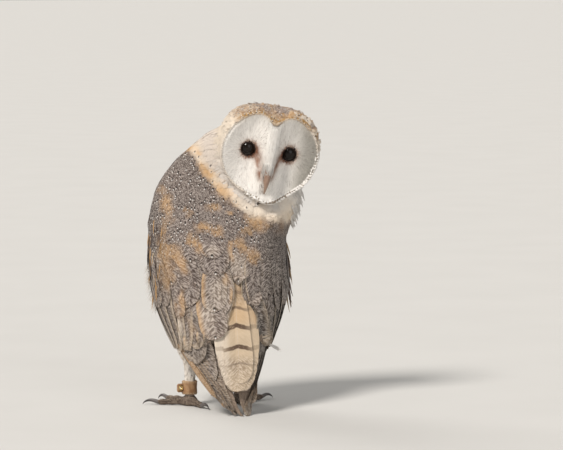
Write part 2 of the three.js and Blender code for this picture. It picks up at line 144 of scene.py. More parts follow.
def hashed(points, cell, seed):
    """A number from 0 to 1 for each cell of a grid."""
    i = np.floor(points / cell).astype(np.int64)
    n = (i[..., 0] * 73856093) ^ (i[..., 1] * 19349663) ^ (i[..., 2] * 83492791) ^ (seed * 2654435)
    n = (n ^ (n >> 13)) * 1274126177
    return ((n ^ (n >> 16)) & 0xFFFF) / 0xFFFF


def clouds(points, size, seed=0):
    """Smooth noise from 0 to 1 with features of about this size."""
    base = np.floor(points / size)
    t = points / size - base
    t = t * t * (3 - 2 * t)
    total = 0
    for corner in np.ndindex(2, 2, 2):
        c = np.array(corner)
        weight = np.prod(np.where(c, t, 1 - t), axis=-1)
        total = total + weight * hashed(base + c, 1, seed)
    return total


# ---------- surfaces ----------


def mesh_arrays(mesh):
    """The vertices of a mesh in millimetres, and its triangles."""
    mesh.calc_loop_triangles()
    at = np.empty(len(mesh.vertices) * 3, np.float32)
    mesh.vertices.foreach_get("co", at)
    tri = np.empty(len(mesh.loop_triangles) * 3, np.int32)
    mesh.loop_triangles.foreach_get("vertices", tri)
    return from_metres(at.reshape(-1, 3)), tri.reshape(-1, 3)


def node_arrays(names):
    """Vertices in millimetres and triangles of some nodes, with the node of each triangle."""
    places, triangles, owners, start = [], [], [], 0
    for i, name in enumerate(names):
        node_places, node_triangles = mesh_arrays(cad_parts[name].data)
        places.append(node_places)
        triangles.append(node_triangles + start)
        owners.append(np.full(len(node_triangles), i))
        start += len(node_places)
    return np.concatenate(places), np.concatenate(triangles), np.concatenate(owners)


def vertex_normals(places, triangles):
    a, b, c = (places[triangles[:, k]] for k in range(3))
    face = np.cross(b - a, c - a)
    normals = np.zeros_like(places)
    for k in range(3):
        np.add.at(normals, triangles[:, k], face)
    return unit(normals)


def tree_of(places, triangles):
    return BVHTree.FromPolygons(places.tolist(), triangles.tolist())


BODY_MIDDLE = 10  # the body's middle lies this far behind the upright axis
OUTSIDE = 200  # rays toward the body start this far out


class Surface:
    """Triangles that can be asked for the nearest place, or for the place that a ray meets."""

    def __init__(self, places, triangles):
        self.places, self.triangles = places, triangles
        self.normals = vertex_normals(places, triangles)
        self.tree = tree_of(places, triangles)

    def normals_at(self, faces):
        return unit(self.normals[self.triangles[faces]].mean(1))

    def nearest(self, points):
        found = [self.tree.find_nearest(p) for p in points.tolist()]
        places = np.array([f[0] for f in found])
        return places, self.normals_at(np.array([f[2] for f in found]))

    def met(self, starts, ways, reach):
        """The places that rays meet. One that misses gives the place nearest to it at the reach."""
        found = []
        for start, way in zip(starts, ways):
            hit = self.tree.ray_cast(start, way)
            found.append(self.tree.find_nearest(start + way * reach) if hit[0] is None else hit)
        return np.array([f[0] for f in found]), self.normals_at(np.array([f[2] for f in found]))

    def around(self, angles, heights):
        """Places seen from outside, by angle round the body (0 behind, 90 left) and height."""
        outs = [Vector((math.sin(a), math.cos(a), 0)) for a in np.radians(angles)]
        starts = [Vector((0, BODY_MIDDLE, h)) + out * OUTSIDE for h, out in zip(heights, outs)]
        return self.met(starts, [-out for out in outs], 0.7 * OUTSIDE)

    def open_to_air(self, points, normals, lift=1.5, reach=24):
        """Whether nothing stands within reach in front of each place."""
        rays = zip(map(Vector, points + normals * lift), map(Vector, normals))
        return np.array([self.tree.ray_cast(*ray, reach)[0] is None for ray in rays])

    def scatter(self, spacing, wanted, tries=4.5):
        """Roots at least about spacing(place) apart, on the faces whose middles are wanted."""
        corners = self.places[self.triangles]
        middles = corners.mean(1)
        keep = wanted(middles)
        corners, middles = corners[keep], middles[keep]
        gaps = spacing(middles)
        area = np.linalg.norm(np.cross(corners[:, 1] - corners[:, 0],
                                       corners[:, 2] - corners[:, 0]), axis=1) / 2
        many = tries * area / gaps**2
        count = int(many.sum())
        chosen = rng.choice(len(many), count, p=many / many.sum())
        a, b = rng.random((2, count, 1))
        flip = a + b > 1
        a, b = np.where(flip, 1 - a, a), np.where(flip, 1 - b, b)
        t = corners[chosen]
        places = t[:, 0] + a * (t[:, 1] - t[:, 0]) + b * (t[:, 2] - t[:, 0])
        return places[spread(places, spacing(places))]


def spread(places, gaps):
    """The indices of places kept so that no two are nearer than their gap."""
    grid, kept = {}, []
    keys = np.floor(places / gaps.max()).astype(int).tolist()
    for n, ((x, y, z), place, gap) in enumerate(zip(keys, places.tolist(), gaps.tolist())):
        near = [other for i in (x - 1, x, x + 1) for j in (y - 1, y, y + 1)
                for k in (z - 1, z, z + 1) for other in grid.get((i, j, k), ())]
        if all(math.dist(place, other) >= gap for other in near):
            grid.setdefault((x, y, z), []).append(place)
            kept.append(n)
    return np.array(kept)


def mesh_object(name, places, triangles):
    mesh = bpy.data.meshes.new(name)
    mesh.vertices.add(len(places))
    mesh.vertices.foreach_set("co", to_metres(places).astype(np.float32).ravel())
    mesh.loops.add(triangles.size)
    mesh.loops.foreach_set("vertex_index", triangles.astype(np.int32).ravel())
    mesh.polygons.add(len(triangles))
    mesh.polygons.foreach_set("loop_start", np.arange(0, triangles.size, 3, dtype=np.int32))
    mesh.update(calc_edges=True)
    thing = bpy.data.objects.new(name, mesh)
    bpy.context.scene.collection.objects.link(thing)
    return thing


def remeshed(names, voxel, rounds):
    """One closed, smoothed surface round some nodes, without the shells inside it."""
    places, triangles, _ = node_arrays(names)
    source = mesh_object("remesh_source", places, triangles)
    remesh = source.modifiers.new("remesh", "REMESH")
    remesh.mode = "VOXEL"
    remesh.voxel_size = voxel * MM
    soften = source.modifiers.new("soften", "SMOOTH")
    soften.factor = 0.5
    soften.iterations = rounds
    bpy.context.view_layer.update()
    shown = source.evaluated_get(bpy.context.evaluated_depsgraph_get())
    places, triangles = mesh_arrays(shown.to_mesh())
    shown.to_mesh_clear()
    bpy.data.objects.remove(source)
    return outer_shell(places, triangles)


def outer_shell(places, triangles):
    """The connected piece with the most vertices."""
    label = np.arange(len(places))
    while True:
        low = label[triangles].min(1)
        new = label.copy()
        for k in range(3):
            np.minimum.at(new, triangles[:, k], low)
        new = new[new]
        if (new == label).all():
            break
        label = new
    labels, counts = np.unique(label, return_counts=True)
    kept = label == labels[counts.argmax()]
    number = np.cumsum(kept) - 1
    return places[kept], number[triangles[kept[triangles[:, 0]]]]


SIDES = {"left": 1, "right": -1}  # each side, and its sign along X
TOE_NODES = [f"toe_{toe}_{side}" for side in SIDES for toe in ("middle", "inner", "outer", "rear")]
FOOT_NODES = [f"foot_{side}" for side in SIDES]
LEG_NODES = [f"{part}_{side}" for side in SIDES for part in ("leg", "shank")]
COVERT_NODES, SECONDARY_NODES, PRIMARY_NODES = (
    [f"wing_{side}_{row}" for side in SIDES] for row in ("coverts", "secondaries", "primaries"))
BODY_NODES = ["head", "face_disc", "neck", "trunk", *COVERT_NODES]
FLESH = [*BODY_NODES, *LEG_NODES, *FOOT_NODES, *TOE_NODES]
OUTLINE_NODES = [*BODY_NODES, *SECONDARY_NODES, *LEG_NODES]
outline = Surface(*remeshed(OUTLINE_NODES, 2.0, 8))


def node_finder(names):
    """A function that tells which of these nodes each place lies nearest to."""
    places, triangles, owners = node_arrays(names)
    tree = tree_of(places, triangles)

    def find(points):
        found = [tree.find_nearest(p)[2] for p in points.tolist()]
        return np.array(names)[owners[np.array(found)]]

    return find


nodes_at = node_finder(OUTLINE_NODES)


# ---------- the face disc, in the head's frame: it looks along -Y ----------

DISC_RADIUS = 49.7
DISC_WIDEN = 2.3
DISC_WIDEST = 97
DISC_NOTCH = 14.7
NOTCH_SPREAD = 17
DISC_CHIN = 7.5
CHIN_SPREAD = 16
CHIN_SWAY = 9
EYE_SPACING = 43.4
RIDGE = [(-56, 10), (-44, 8), (-30, 11), (-18, 19), (-6, 17.5), (8, 14.5), (22, 11), (34, 9)]


def around_crown(angle):
    """The angle from the crown, from -180 to 180."""
    return (angle + 540) % 360 - 180


def from_chin(angle):
    return (angle + 360) % 360 - 180


def disc_radius(angle):
    turn = np.abs(around_crown(angle))
    return (DISC_RADIUS + DISC_WIDEN * np.cos(np.radians(2 * (turn - DISC_WIDEST)))
            - DISC_NOTCH * bump(turn, NOTCH_SPREAD)
            + DISC_CHIN * bump(from_chin(angle) + CHIN_SWAY, CHIN_SPREAD))


def rim_ahead(angle):
    return 6 + 3 * bump(around_crown(angle), 25) + 5 * bump(from_chin(angle), 50)


def face_polar(x, z):
    angle = np.degrees(np.arctan2(x, z))
    return angle, np.hypot(x, z) / disc_radius(angle)


def face_ahead(x, z):
    """How far the dishes and the ridge stand ahead of the plane of the eyes."""
    angle, share = face_polar(x, z)
    dish = -2.5 + (rim_ahead(angle) + 2.5) * np.clip(share, 0, 1.05) ** 2.6
    ridge = np.maximum(between(RIDGE, np.clip(z, -56, 34)), dish)
    return mix(dish, ridge, bump(x, mix(9, 14, smooth(z, -12, 16))))


def face_place(x, z):
    return np.stack([x, -face_ahead(x, z), z], -1)


def face_normal(x, z):
    step = 0.8
    along_x = face_place(x + step, z) - face_place(x - step, z)
    along_z = face_place(x, z + step) - face_place(x, z - step)
    return unit(np.cross(along_x, along_z))


# ---------- plain meshes ----------


def wound(rings, closed):
    """The places of rings, and the faces between each ring and the next."""
    count, sides = rings.shape[:2]
    at = np.arange(count * sides).reshape(count, sides)
    if closed:
        at = np.concatenate([at, at[:1]])
    nxt = np.roll(at, -1, 1)
    a, b, c, d = at[:-1], nxt[:-1], nxt[1:], at[1:]
    faces = np.concatenate([np.stack([a, b, c], -1).reshape(-1, 3),
                            np.stack([a, c, d], -1).reshape(-1, 3)])
    return rings.reshape(-1, 3), faces, at, nxt


def tube_mesh(rings):
    """A closed mesh from rings of places, each with the same number of places."""
    rings = np.asarray(rings, float)
    places, faces, at, nxt = wound(rings, False)
    low = np.full(rings.shape[1], len(places))
    places = np.concatenate([places, rings[[0, -1]].mean(1)])
    return places, np.concatenate([faces, np.stack([nxt[0], at[0], low], -1),
                                   np.stack([at[-1], nxt[-1], low + 1], -1)])


def closed_rings(rings):
    """A ring of rings, such as a band, joined back to its start."""
    return wound(rings, True)[:2]


def smooth_curve(rows, count):
    """Places and numbers along rows, joined by a smooth curve."""
    rows = np.asarray(rows, float)
    t = np.linspace(0, len(rows) - 1, count)
    i = np.clip(np.floor(t).astype(int), 0, len(rows) - 2)
    u = (t - i)[:, None]
    before, after = rows[np.maximum(i - 1, 0)], rows[np.minimum(i + 2, len(rows) - 1)]
    a, b = rows[i], rows[i + 1]
    return 0.5 * (2 * a + (b - before) * u + (2 * before - 5 * a + 4 * b - after) * u**2
                  + (3 * a - before - 3 * b + after) * u**3)


def swept(rows, across, count, sides, power=2.0, keel=0.0):
    """A tube along rows of (x, y, z, half across, half up), with the ring's rounding and keel."""
    rows = smooth_curve(rows, count)
    centre, halves = rows[:, :3], np.maximum(rows[:, 3:5], 0.05)
    way = unit(np.gradient(centre, axis=0))
    side = unit(np.broadcast_to(np.asarray(across, float), way.shape))
    up = unit(np.cross(side, way))
    angle = np.linspace(0, 2 * np.pi, sides, endpoint=False)
    c, s = np.cos(angle), np.sin(angle)
    c, s = (np.sign(v) * np.abs(v) ** (2 / power) for v in (c, s))
    c = c * (1 - keel * np.maximum(s, 0))
    rings = (centre[:, None] + side[:, None] * (c[None] * halves[:, :1])[..., None]
             + up[:, None] * (s[None] * halves[:, 1:])[..., None])
    return rings


def torus(centre, axis_a, axis_b, radii, thick, turns=40, sides=12, flat=1.0):
    """A ring about a centre, in the plane of two axes, whose radius may vary round it."""
    turn = np.linspace(0, 2 * np.pi, turns, endpoint=False)
    radii = np.broadcast_to(radii, turns)
    out = np.cos(turn)[:, None] * axis_a + np.sin(turn)[:, None] * axis_b
    up = np.cross(axis_a, axis_b)
    s = np.linspace(0, 2 * np.pi, sides, endpoint=False)
    rings = (centre + out[:, None] * (radii[:, None] + thick * np.cos(s))[..., None]
             + up * (flat * thick * np.sin(s))[None, :, None])
    return closed_rings(rings)


def outward(places, faces):
    """The faces, turned so that the closed mesh has its front outside."""
    a, b, c = (places[faces[:, k]] for k in range(3))
    volume = dot(a, np.cross(b, c)).sum()
    return faces if volume > 0 else faces[:, ::-1]


def merged(parts):
    places, faces, base = [], [], 0
    for p, f in parts:
        places.append(p)
        faces.append(outward(p, f) + base)
        base += len(p)
    return np.concatenate(places), np.concatenate(faces)


# ---------- markings, shared by the skin and the coat ----------

WHITE = np.array([0.80, 0.77, 0.73])
CREAM = np.array([0.70, 0.56, 0.40])
PALE_CREAM = mix(CREAM, WHITE, 0.4)
NECK_WHITE = np.array([0.62, 0.545, 0.48])
GOLD = np.array([0.47, 0.285, 0.13])
BROW_GOLD = np.array([0.42, 0.24, 0.075])
GREY = np.array([0.135, 0.098, 0.086])
DARK = GREY * 0.6
PALE_GREY = np.array([0.262, 0.207, 0.172])
PALE_MOTTLE = np.array([0.50, 0.42, 0.345])
RUST = np.array([0.32, 0.14, 0.07])
UMBER = np.array([0.15, 0.075, 0.05])
PAINTED_FACE_SHADE = np.array([0.33, 0.31, 0.27])

# gold patches on the upper side: place across (left +), height, and how far they reach
GOLD_PATCHES = [
    (61, 214, 5, 15), (65, 190, 4, 8), (42, 205, 4, 4), (18, 211, 7, 4), (1, 205, 3, 3),
    (29, 191, 9, 5), (16, 187, 6, 6), (44, 180, 4, 7), (-29, 196, 13, 10), (-14, 186, 6, 4),
    (-4, 176, 7, 6), (-10, 168, 6, 6), (-20, 160, 7, 8), (59, 164, 8, 10), (52, 152, 5, 8),
    (68, 168, 4, 14), (66, 142, 6, 16), (12, 138, 4, 6), (7, 122, 3, 9), (54, 114, 4, 15),
    (46, 88, 3, 9), (-74, 135, 4, 16), (38, 174, 4, 9), (5, 166, 4, 11),
]
# whitish, wavy patches in the same form
PALE_PATCHES = [(-2, 151, 11, 16), (20, 126, 12, 15), (33, 101, 9, 18), (72, 157, 4, 9),
                (24, 168, 8, 6)]
# the height at which the cream of the neck gives way to the gold band and then to the back
NECK_EDGE = [(-90, 188), (-60, 194), (-46, 198), (-19, 204), (6, 223), (17, 238), (27, 252),
             (37, 268), (60, 290)]
FRONT_EDGE = 238


def tinted(tint, colour, share):
    """The tint, turned toward a colour by a share for each place."""
    return mix(tint, colour, np.asarray(share)[..., None])


def shaded(tint, low, high, share):
    """The tint, made darker or lighter, from low to high by a share for each place."""
    return tint * mix(low, high, share)[:, None]


def marks_of(p, mottle=0, drops=0, bars=0):
    """How strong the mottling, the drops and the bars are at each place."""
    columns = [np.broadcast_to(np.asarray(v, float), len(p)) for v in (mottle, drops, bars)]
    return np.stack(columns, 1)


def patches_at(p, patches, ragged, full, none):
    """How deep each place lies in the patches: their edges run from full to none."""
    x, z = p[:, 0], p[:, 2]
    total = 0
    for across, height, wide, high in patches:
        near = np.hypot((x - across + ragged) / wide, (z - height + ragged) / high)
        total = total + 1 - smooth(near, full, none)
    return total


def gold_share(p):
    ragged = 6 * (clouds(p, 5, 77) - 0.5) + 2.5 * (clouds(p, 2.2, 79) - 0.5)
    total = patches_at(p, GOLD_PATCHES, ragged, 0.45, 1.45) * smooth(p[:, 1], -25, 5)
    return np.clip(total, 0, 1) * mix(0.62, 1, smooth(clouds(p, 2.4, 80), 0.25, 0.6))


def pale_share(p):
    ragged = 3.5 * (clouds(p, 3.5, 78) - 0.5)
    total = patches_at(p, PALE_PATCHES, ragged, 0.4, 1.3)
    return np.clip(total, 0, 1) * smooth(p[:, 1], -5, 15)


def upper_side(p):
    """Tint and marks of the back and the upper wings."""
    x, z = p[:, 0], p[:, 2]
    gold = gold_share(p)
    grey = tinted(GREY, PALE_GREY, 0.5 * smooth(150 - z, 0, 55))
    # darker on the right side: partly the wing's own darker grey, partly painted shade of the side
    # turned from the light
    right = smooth(-x, 12, 45) * smooth(205 - z, 0, 30)
    grey = shaded(grey, 1, 0.62, right)
    grey = tinted(grey, PALE_MOTTLE, 0.8 * pale_share(p) * (1 - right))
    tint = shaded(tinted(grey, GOLD, 0.92 * gold), 1, 0.72, smooth(x, 56, 72))
    tint = shaded(tint, 0.84, 1.16, clouds(p, 7, 5))
    return tint, marks_of(p, 1 - 0.45 * gold, mix(1, 0.45, gold))


def back_side(p):
    """The neck and the back: white at the face, cream, a gold band, then grey."""
    x, y, z = p.T
    # how far each place lies above the gold band: behind, it follows NECK_EDGE, and in front,
    # FRONT_EDGE, which sinks toward the middle of the breast
    wander = 6 * (clouds(p, 12, 8) - 0.5) + 3 * (clouds(p, 4, 88) - 0.5)
    back = z - between(NECK_EDGE, x) + wander
    front = FRONT_EDGE - z + wander + 45 * smooth(42 - x, 0, 26)
    above = mix(front, back, smooth(y, -26, -4))
    upper_tint, upper_marks = upper_side(p)
    pure = tinted(WHITE * 0.95, NECK_WHITE, smooth(y, -30, 0) * smooth(x, -58, -30))
    cream = tinted(mix(CREAM, WHITE, 0.45), pure, smooth(above, 3, 15))
    warm = smooth(clouds(p, 15, 21), 0.45, 0.85) * smooth(above, 34, 12)
    cream = tinted(cream, CREAM, 0.5 * warm)
    centre = mix(-7, 2, smooth(x, -28, 0))
    gold = bump(above - centre, 8) * mix(0.25, 1, smooth(clouds(p, 7, 9), 0.3, 0.6))
    light = smooth(above, -7, 2)
    tint = tinted(upper_tint, cream, light)
    tint = tinted(tint, GOLD * 1.25, 0.9 * gold * mix(0.3, 1, smooth(x, -12, 10)))
    dots = mix(upper_marks[:, 1], 0.75 * (hashed(p, 5.0, 4) > 0.68), light)
    return tint, marks_of(p, upper_marks[:, 0] * (1 - light) * (1 - 0.4 * gold),
                          dots * (1 - smooth(above, 14, 30)) * smooth(x, -40, -26))


def under_side(p):
    """Breast, belly and flanks: white, with a little gold at the sides and few dots."""
    x, z = p[:, 0], p[:, 2]
    wash = smooth(np.abs(x), 42, 72) * smooth(z, 120, 190) * clouds(p, 20, 12)
    tint = tinted(WHITE * 0.95, CREAM, 0.6 * wash)
    return tint, marks_of(p, drops=(hashed(p, 5.0, 6) > 0.9) * smooth(z, 80, 100))


def crown_side(p):
    """Crown and nape: grey with dots, gold at the brow and at the sides of the ruff."""
    x, y, z = to_head(p).T
    across = around_crown(face_polar(x, z)[0])
    turn = np.abs(across)
    wander = 8 * (clouds(p, 9, 14) - 0.5)
    brow = bump(y + 5 + 0.5 * wander, 6)
    tint = tinted(GREY * 2.1, PALE_GREY * 1.35, clouds(p, 5, 16))
    flecks = smooth(clouds(p, 5, 15), 0.5, 0.7)
    warm = np.clip(0.8 * brow + 0.6 * flecks, 0, 1)
    tint = tinted(tint, tinted(GOLD * 1.2, BROW_GOLD, brow), warm)
    tint = tinted(tint, CREAM * 1.05, 0.6 * smooth(clouds(p, 6, 61), 0.62, 0.8))
    # cream and gold at both sides of the crown, and in a streak up from the notch
    across = across + wander
    blond = smooth(-across, 24, 34) + bump(across + 6, 5) + smooth(across, 20, 30)
    blond = 0.7 * np.clip(blond, 0, 1) * (1 - smooth(y, 16, 34))
    tint = tinted(tint, tinted(CREAM, GOLD * 1.1, smooth(clouds(p, 3, 63), 0.35, 0.65)), blond)
    side = smooth(turn + wander, 40, 66)
    tint = tinted(tint, PALE_CREAM * 0.9, side)
    low = smooth(turn, 88, 122)
    tint = tinted(tint, mix(NECK_WHITE, WHITE, 0.45), low)
    tint = tinted(tint, PALE_CREAM, smooth(y, 26, 44) * (1 - low))
    return tint, marks_of(p, (1 - side) * (1 - 0.35 * warm), 0.8 * (1 - 0.75 * side))


def face_side(p):
    """The face: white, rusty and dark round the eyes, with painted shade over the outer dish at the
    head's left.
    """
    q = to_head(p)
    x, z = q[:, 0], q[:, 2]
    angle, share = face_polar(x, z)
    inward = EYE_SPACING / 2 - np.abs(x)
    near_eye = np.hypot(inward, z)
    tint = tinted(WHITE * 1.17, UMBER, 0.8 * bump(np.maximum(near_eye - 7.4, 0), 1.9))
    halo = bump(np.maximum(near_eye - 8.0, 0), 4.5) * mix(0.5, 1, smooth(inward - 0.5 * z, -6, 8))
    tint = tinted(tint, RUST * 1.5, 0.42 * halo)
    tint = tinted(tint, UMBER * 1.3, 0.72 * bump(inward - 8.5, 3.5) * bump(z + 4.5, 5.5))
    # a rusty streak from the inner corner of each eye down beside the bill
    t = np.clip(-z / 30, 0, 1)
    streak = bump(np.abs(x) - mix(12.5, 5.0, t), mix(3.8, 2.8, t)) * smooth(-z, -2, 5)
    streak = streak * smooth(34 + z, 0, 10) * mix(0.35, 1, smooth(clouds(q, 2.6, 17), 0.25, 0.6))
    tint = tinted(tint, RUST, 0.92 * streak)
    rays = clouds(np.stack([angle / 3.0, 3 * near_eye / 20, 0 * x], 1), 1.0, 19)
    tint = shaded(tint, 0.96, 1.02, rays)
    # painted shade: the outer part of the dish on the head's left side is greyed, as if it were
    # turned from the light
    tint = tinted(tint, PAINTED_FACE_SHADE, 0.85 * smooth(share, 0.3, 0.9) * smooth(x, 13, 40))
    tint = shaded(tint, 1, 0.86, bump(x, 7) * smooth(z, -24, -6))
    rim = smooth(share, 0.86, 1.0) * smooth(75 - np.abs(around_crown(angle)), 0, 40)
    return tinted(tint, CREAM, 0.55 * rim), marks_of(p)


def leg_side(p):
    return tinted(WHITE, CREAM, 0.5 * clouds(p, 9, 18)), marks_of(p)


def plain(tint):
    """One tint, without marks."""
    return lambda p: (np.tile(tint, (len(p), 1)), marks_of(p))


# ---------- the lie of the coat ----------


def lie_of_body(p):
    x, y, z = p.T
    side = smooth(np.abs(x), 30, 62)
    return np.stack([-0.004 * x * smooth(150 - z, 0, 60), 0.42 * side * smooth(y, -30, 0),
                     -np.ones(len(p))], 1)


def lie_of_neck(p):
    away = unit(p - HEAD_PLACE - np.array([0, -12, 6]))
    return 0.9 * away + np.array([0, 0, -0.9])


def lie_of_head(p):
    q = to_head(p)
    x, y = q[:, 0], q[:, 1]
    f = np.stack([0.012 * x, np.ones(len(q)), -0.25 - 0.02 * np.clip(y, 0, 50)], 1)
    return f @ HEAD_TURN.T


def follow(surface, roots, lie, lengths, steps, sway):
    """Runs each shaft over the surface: its places and the surface's normals along it."""
    places, normals = surface.nearest(roots)
    path, ups = [places], [normals]
    heading = None
    for _ in range(steps):
        way = lie(path[-1])
        way = unit(way - ups[-1] * dot(way, ups[-1]))
        across = np.cross(ups[-1], way)
        way = unit(way + across * sway[:, None])
        if heading is not None:
            way = unit(way + 0.6 * heading)
        heading = way
        places, normals = surface.nearest(path[-1] + way * (lengths / steps)[:, None])
        path.append(places)
        ups.append(unit(normals + ups[-1]))
    return np.stack(path, 1), np.stack(ups, 1)


# ---------- vanes ----------


class Form:
    """The grid of one kind of feather. v runs from root to tip, u from edge to edge.

    A blunt of 1 makes the tip a half circle, and 0 cuts it square.
    """

    def __init__(self, rows, columns, outline, blunt=1.0, teeth=0.0, ragged=0.0, camber=0.1,
                 rise=0.7, curl=0.0):
        sides = np.sin(np.linspace(-np.pi / 2, np.pi / 2, columns + 1))
        v, u = np.meshgrid(np.linspace(0, 1, rows + 1), sides, indexing="ij")
        self.rows, self.columns = rows, columns
        self.u, self.v = u.ravel(), v.ravel()
        self.half = np.interp(self.v, *np.array(outline, float).T)
        self.blunt, self.teeth, self.ragged = blunt, teeth, ragged
        self.camber, self.rise, self.curl = camber, rise, curl
        self.faces, self.rim = self.closed_grid()

    def closed_grid(self):
        rows, columns = self.rows, self.columns
        at = np.arange((rows + 1) * (columns + 1)).reshape(rows + 1, columns + 1)
        a, b, c, d = at[:-1, :-1], at[:-1, 1:], at[1:, 1:], at[1:, :-1]
        top = np.stack([a, b, c, a, c, d], -1).reshape(-1, 3)
        left, right = at[:, 0], at[:, -1]
        low = np.stack([left[:-1], right[1:], right[:-1], left[:-1], left[1:], right[1:]], -1)
        root = [[at[0, 0], at[0, k + 1], at[0, k]] for k in range(1, columns)]
        tip = [[at[-1, 0], at[-1, k], at[-1, k + 1]] for k in range(1, columns)]
        faces = np.concatenate([top, low.reshape(-1, 3), root, tip])
        rim = np.zeros(at.size, bool)
        rim[at[0]] = rim[at[-1]] = rim[left] = rim[right] = True
        return faces, rim


PATCH = 0.003  # the size of one small feather on the piece's map


class Feathers:
    """Many feathers of one form, as arrays ready to be joined into a piece.

    A height over the surface rises from -depth at the root to lift at the tip. The tint and the
    marks come from the markings at each vertex, so that patches run on from feather to feather.
    Toward 1, own makes the tint of each feather one tint, and even does the same for its marks.
    A trim is the side of the vane that it lies on (-1 or 1), its strength and its colour.
    """

    def __init__(self, form, path, ups, length, half, depth, lift, colours, edging=0.0,
                 patch=(PATCH, PATCH), tilt=0.0, own=0.3, shade=0.08, drops=1.0, even=0.8,
                 trim=None, trim_from=0.62):
        count, size = len(path), len(form.u)
        steps = path.shape[1] - 1
        noise = rng.random((count, size)) - 0.5
        border = (form.v > 0.999) | (np.abs(form.u) > 0.999)
        wide = form.half * (1 + form.ragged * rng.random((count, size)) * (np.abs(form.u) > 0.999))
        length, half, depth, lift, tilt, drops, edging = (
            np.broadcast_to(a, count).astype(float)[:, None]
            for a in (length, half, depth, lift, tilt, drops, edging))
        circle = 1 - np.sqrt(1 - 0.96 * form.u**2)
        along = form.v - form.blunt * half / length * circle * form.v**2
        along = along + form.teeth * noise * border * (form.v > 0.3)
        place = np.clip(along, 0, 1) * steps
        low = np.clip(np.floor(place).astype(int), 0, steps - 1)
        share = (along * steps - low)[..., None]
        row = np.arange(count)[:, None]
        shaft = mix(path[row, low], path[row, low + 1], share)
        up = unit(mix(ups[row, low], ups[row, low + 1], share))
        across = unit(np.cross(up, unit(path[row, low + 1] - path[row, low])))
        span = form.u * wide * half
        height = mix(-depth, lift, np.clip(along, 0, 1) ** form.rise)
        height = height - form.curl * length * along**4 - form.camber * form.u**2 * wide * half
        height = height + tilt * span * smooth(along, 0.0, 0.35)
        self.places = shaft + across * span[..., None] + up * height[..., None]
        self.form, self.count = form, count
        tint, marks = colours(self.places.reshape(-1, 3))
        tint, marks = tint.reshape(count, size, 3), marks.reshape(count, size, 3)
        middle = size * 2 // 3
        tint = mix(tint, tint[:, middle:middle + 1], own)
        self.tint = tint * rng.uniform(1 - shade, 1 + shade, (count, 1, 1))
        marks = mix(marks, marks[:, middle:middle + 1], even)
        marks[..., 1] *= drops
        if trim is not None:
            side, strength, colour = trim
            edge = np.broadcast_to(strength, count)[:, None]
            edge = edge * smooth(side * form.u, trim_from, 0.5 + 0.5 * trim_from + 0.14)
            self.tint = mix(self.tint, colour, edge[..., None])
            marks[..., 0] *= 1 - 0.7 * edge
            marks[..., 2] += edge
        seeds = np.repeat(rng.random((count, 1, 1)), size, 1)
        self.marks = np.concatenate([marks, seeds], 2)
        rim = smooth(np.abs(form.u), 0.45, 1.0) + smooth(form.v, 0.86, 1.0)
        self.edging = edging * np.clip(rim, 0, 1)
        self.vane = np.stack([span, (1 - along) * length, np.broadcast_to(half, span.shape)], -1)
        self.roots = path[:, 0]
        self.patch = patch

    def faces(self):
        starts = np.arange(self.count) * len(self.form.u)
        return (self.form.faces[None] + starts[:, None, None]).reshape(-1, 3)

    def spots(self):
        grid = np.stack([self.form.u / 2 * self.patch[0], (self.form.v - 0.5) * self.patch[1]], -1)
        return np.broadcast_to(grid, (self.count, len(grid), 2))


def unwrap_round(points):
    """An unwrap of the body: the angle round it, and the height."""
    return np.stack([np.arctan2(points[:, 0], points[:, 1] - BODY_MIDDLE), points[:, 2]], 1)


def unwrap_head(points):
    """An unwrap of the head about the way it looks: the face in the middle, the nape outside."""
    q = to_head(points) + np.array([0, 12, 0])
    out = np.arctan2(np.hypot(q[:, 0], q[:, 2]), -q[:, 1])
    angle = np.arctan2(q[:, 0], q[:, 2])
    return np.stack([out * np.sin(angle), out * np.cos(angle)], 1)


def joined(name, sets, unwrap, material, slot):
    """One piece from sets of feathers, with its colours, its marks and its map."""
    roots = unwrap(np.concatenate([s.roots for s in sets]))
    low, high = roots.min(0), roots.max(0)
    room = np.array([max(s.patch[k] for s in sets) for k in (0, 1)]) / 2
    starts = np.cumsum([0] + [s.places.shape[0] * s.places.shape[1] for s in sets])
    faces = np.concatenate([s.faces() + start for s, start in zip(sets, starts)])
    spots = []
    for s in sets:
        centre = room + (1 - 2 * room) * (unwrap(s.roots) - low) / np.maximum(high - low, 1e-6)
        spots.append((s.spots() + centre[:, None]).reshape(-1, 2))
    uv = np.clip(np.concatenate(spots), 0, 1)
    piece = mesh_object(name, gathered(sets, "places"), faces)
    mesh = piece.data
    set_tint(mesh, np.clip(gathered(sets, "tint"), 0, 1))
    set_numbers(mesh, "marks", gathered(sets, "marks"), "FLOAT_COLOR", "color")
    set_numbers(mesh, "vane", gathered(sets, "vane"), "FLOAT_VECTOR", "vector")
    set_numbers(mesh, "edging", gathered(sets, "edging"))
    layer = mesh.uv_layers.new(name="OFBake")
    layer.uv.foreach_set("vector", uv[faces.ravel()].astype(np.float32).ravel())
    rim = np.concatenate([np.tile(s.form.rim, s.count) for s in sets])
    ends = np.empty(len(mesh.edges) * 2, np.int32)
    mesh.edges.foreach_get("vertices", ends)
    sharp = mesh.attributes.new("sharp_edge", "BOOLEAN", "EDGE")
    sharp.data.foreach_set("value", rim[ends.reshape(-1, 2)].all(1))
    return finish_piece(piece, material, slot)


def gathered(sets, name):
    """One array from the same field of each set, a row for each vertex."""
    rows = [getattr(s, name) for s in sets]
    return np.concatenate([r.reshape(r.shape[0] * r.shape[1], -1) for r in rows])


def set_numbers(mesh, name, values, kind="FLOAT", field="value"):
    layer = mesh.attributes.new(name, kind, "POINT")
    layer.data.foreach_set(field, np.asarray(values, np.float32).ravel())


def set_tint(mesh, tint):
    tint = np.broadcast_to(tint, (len(mesh.vertices), 3))
    set_numbers(mesh, "coat", np.column_stack([tint, np.ones(len(tint))]), "FLOAT_COLOR", "color")


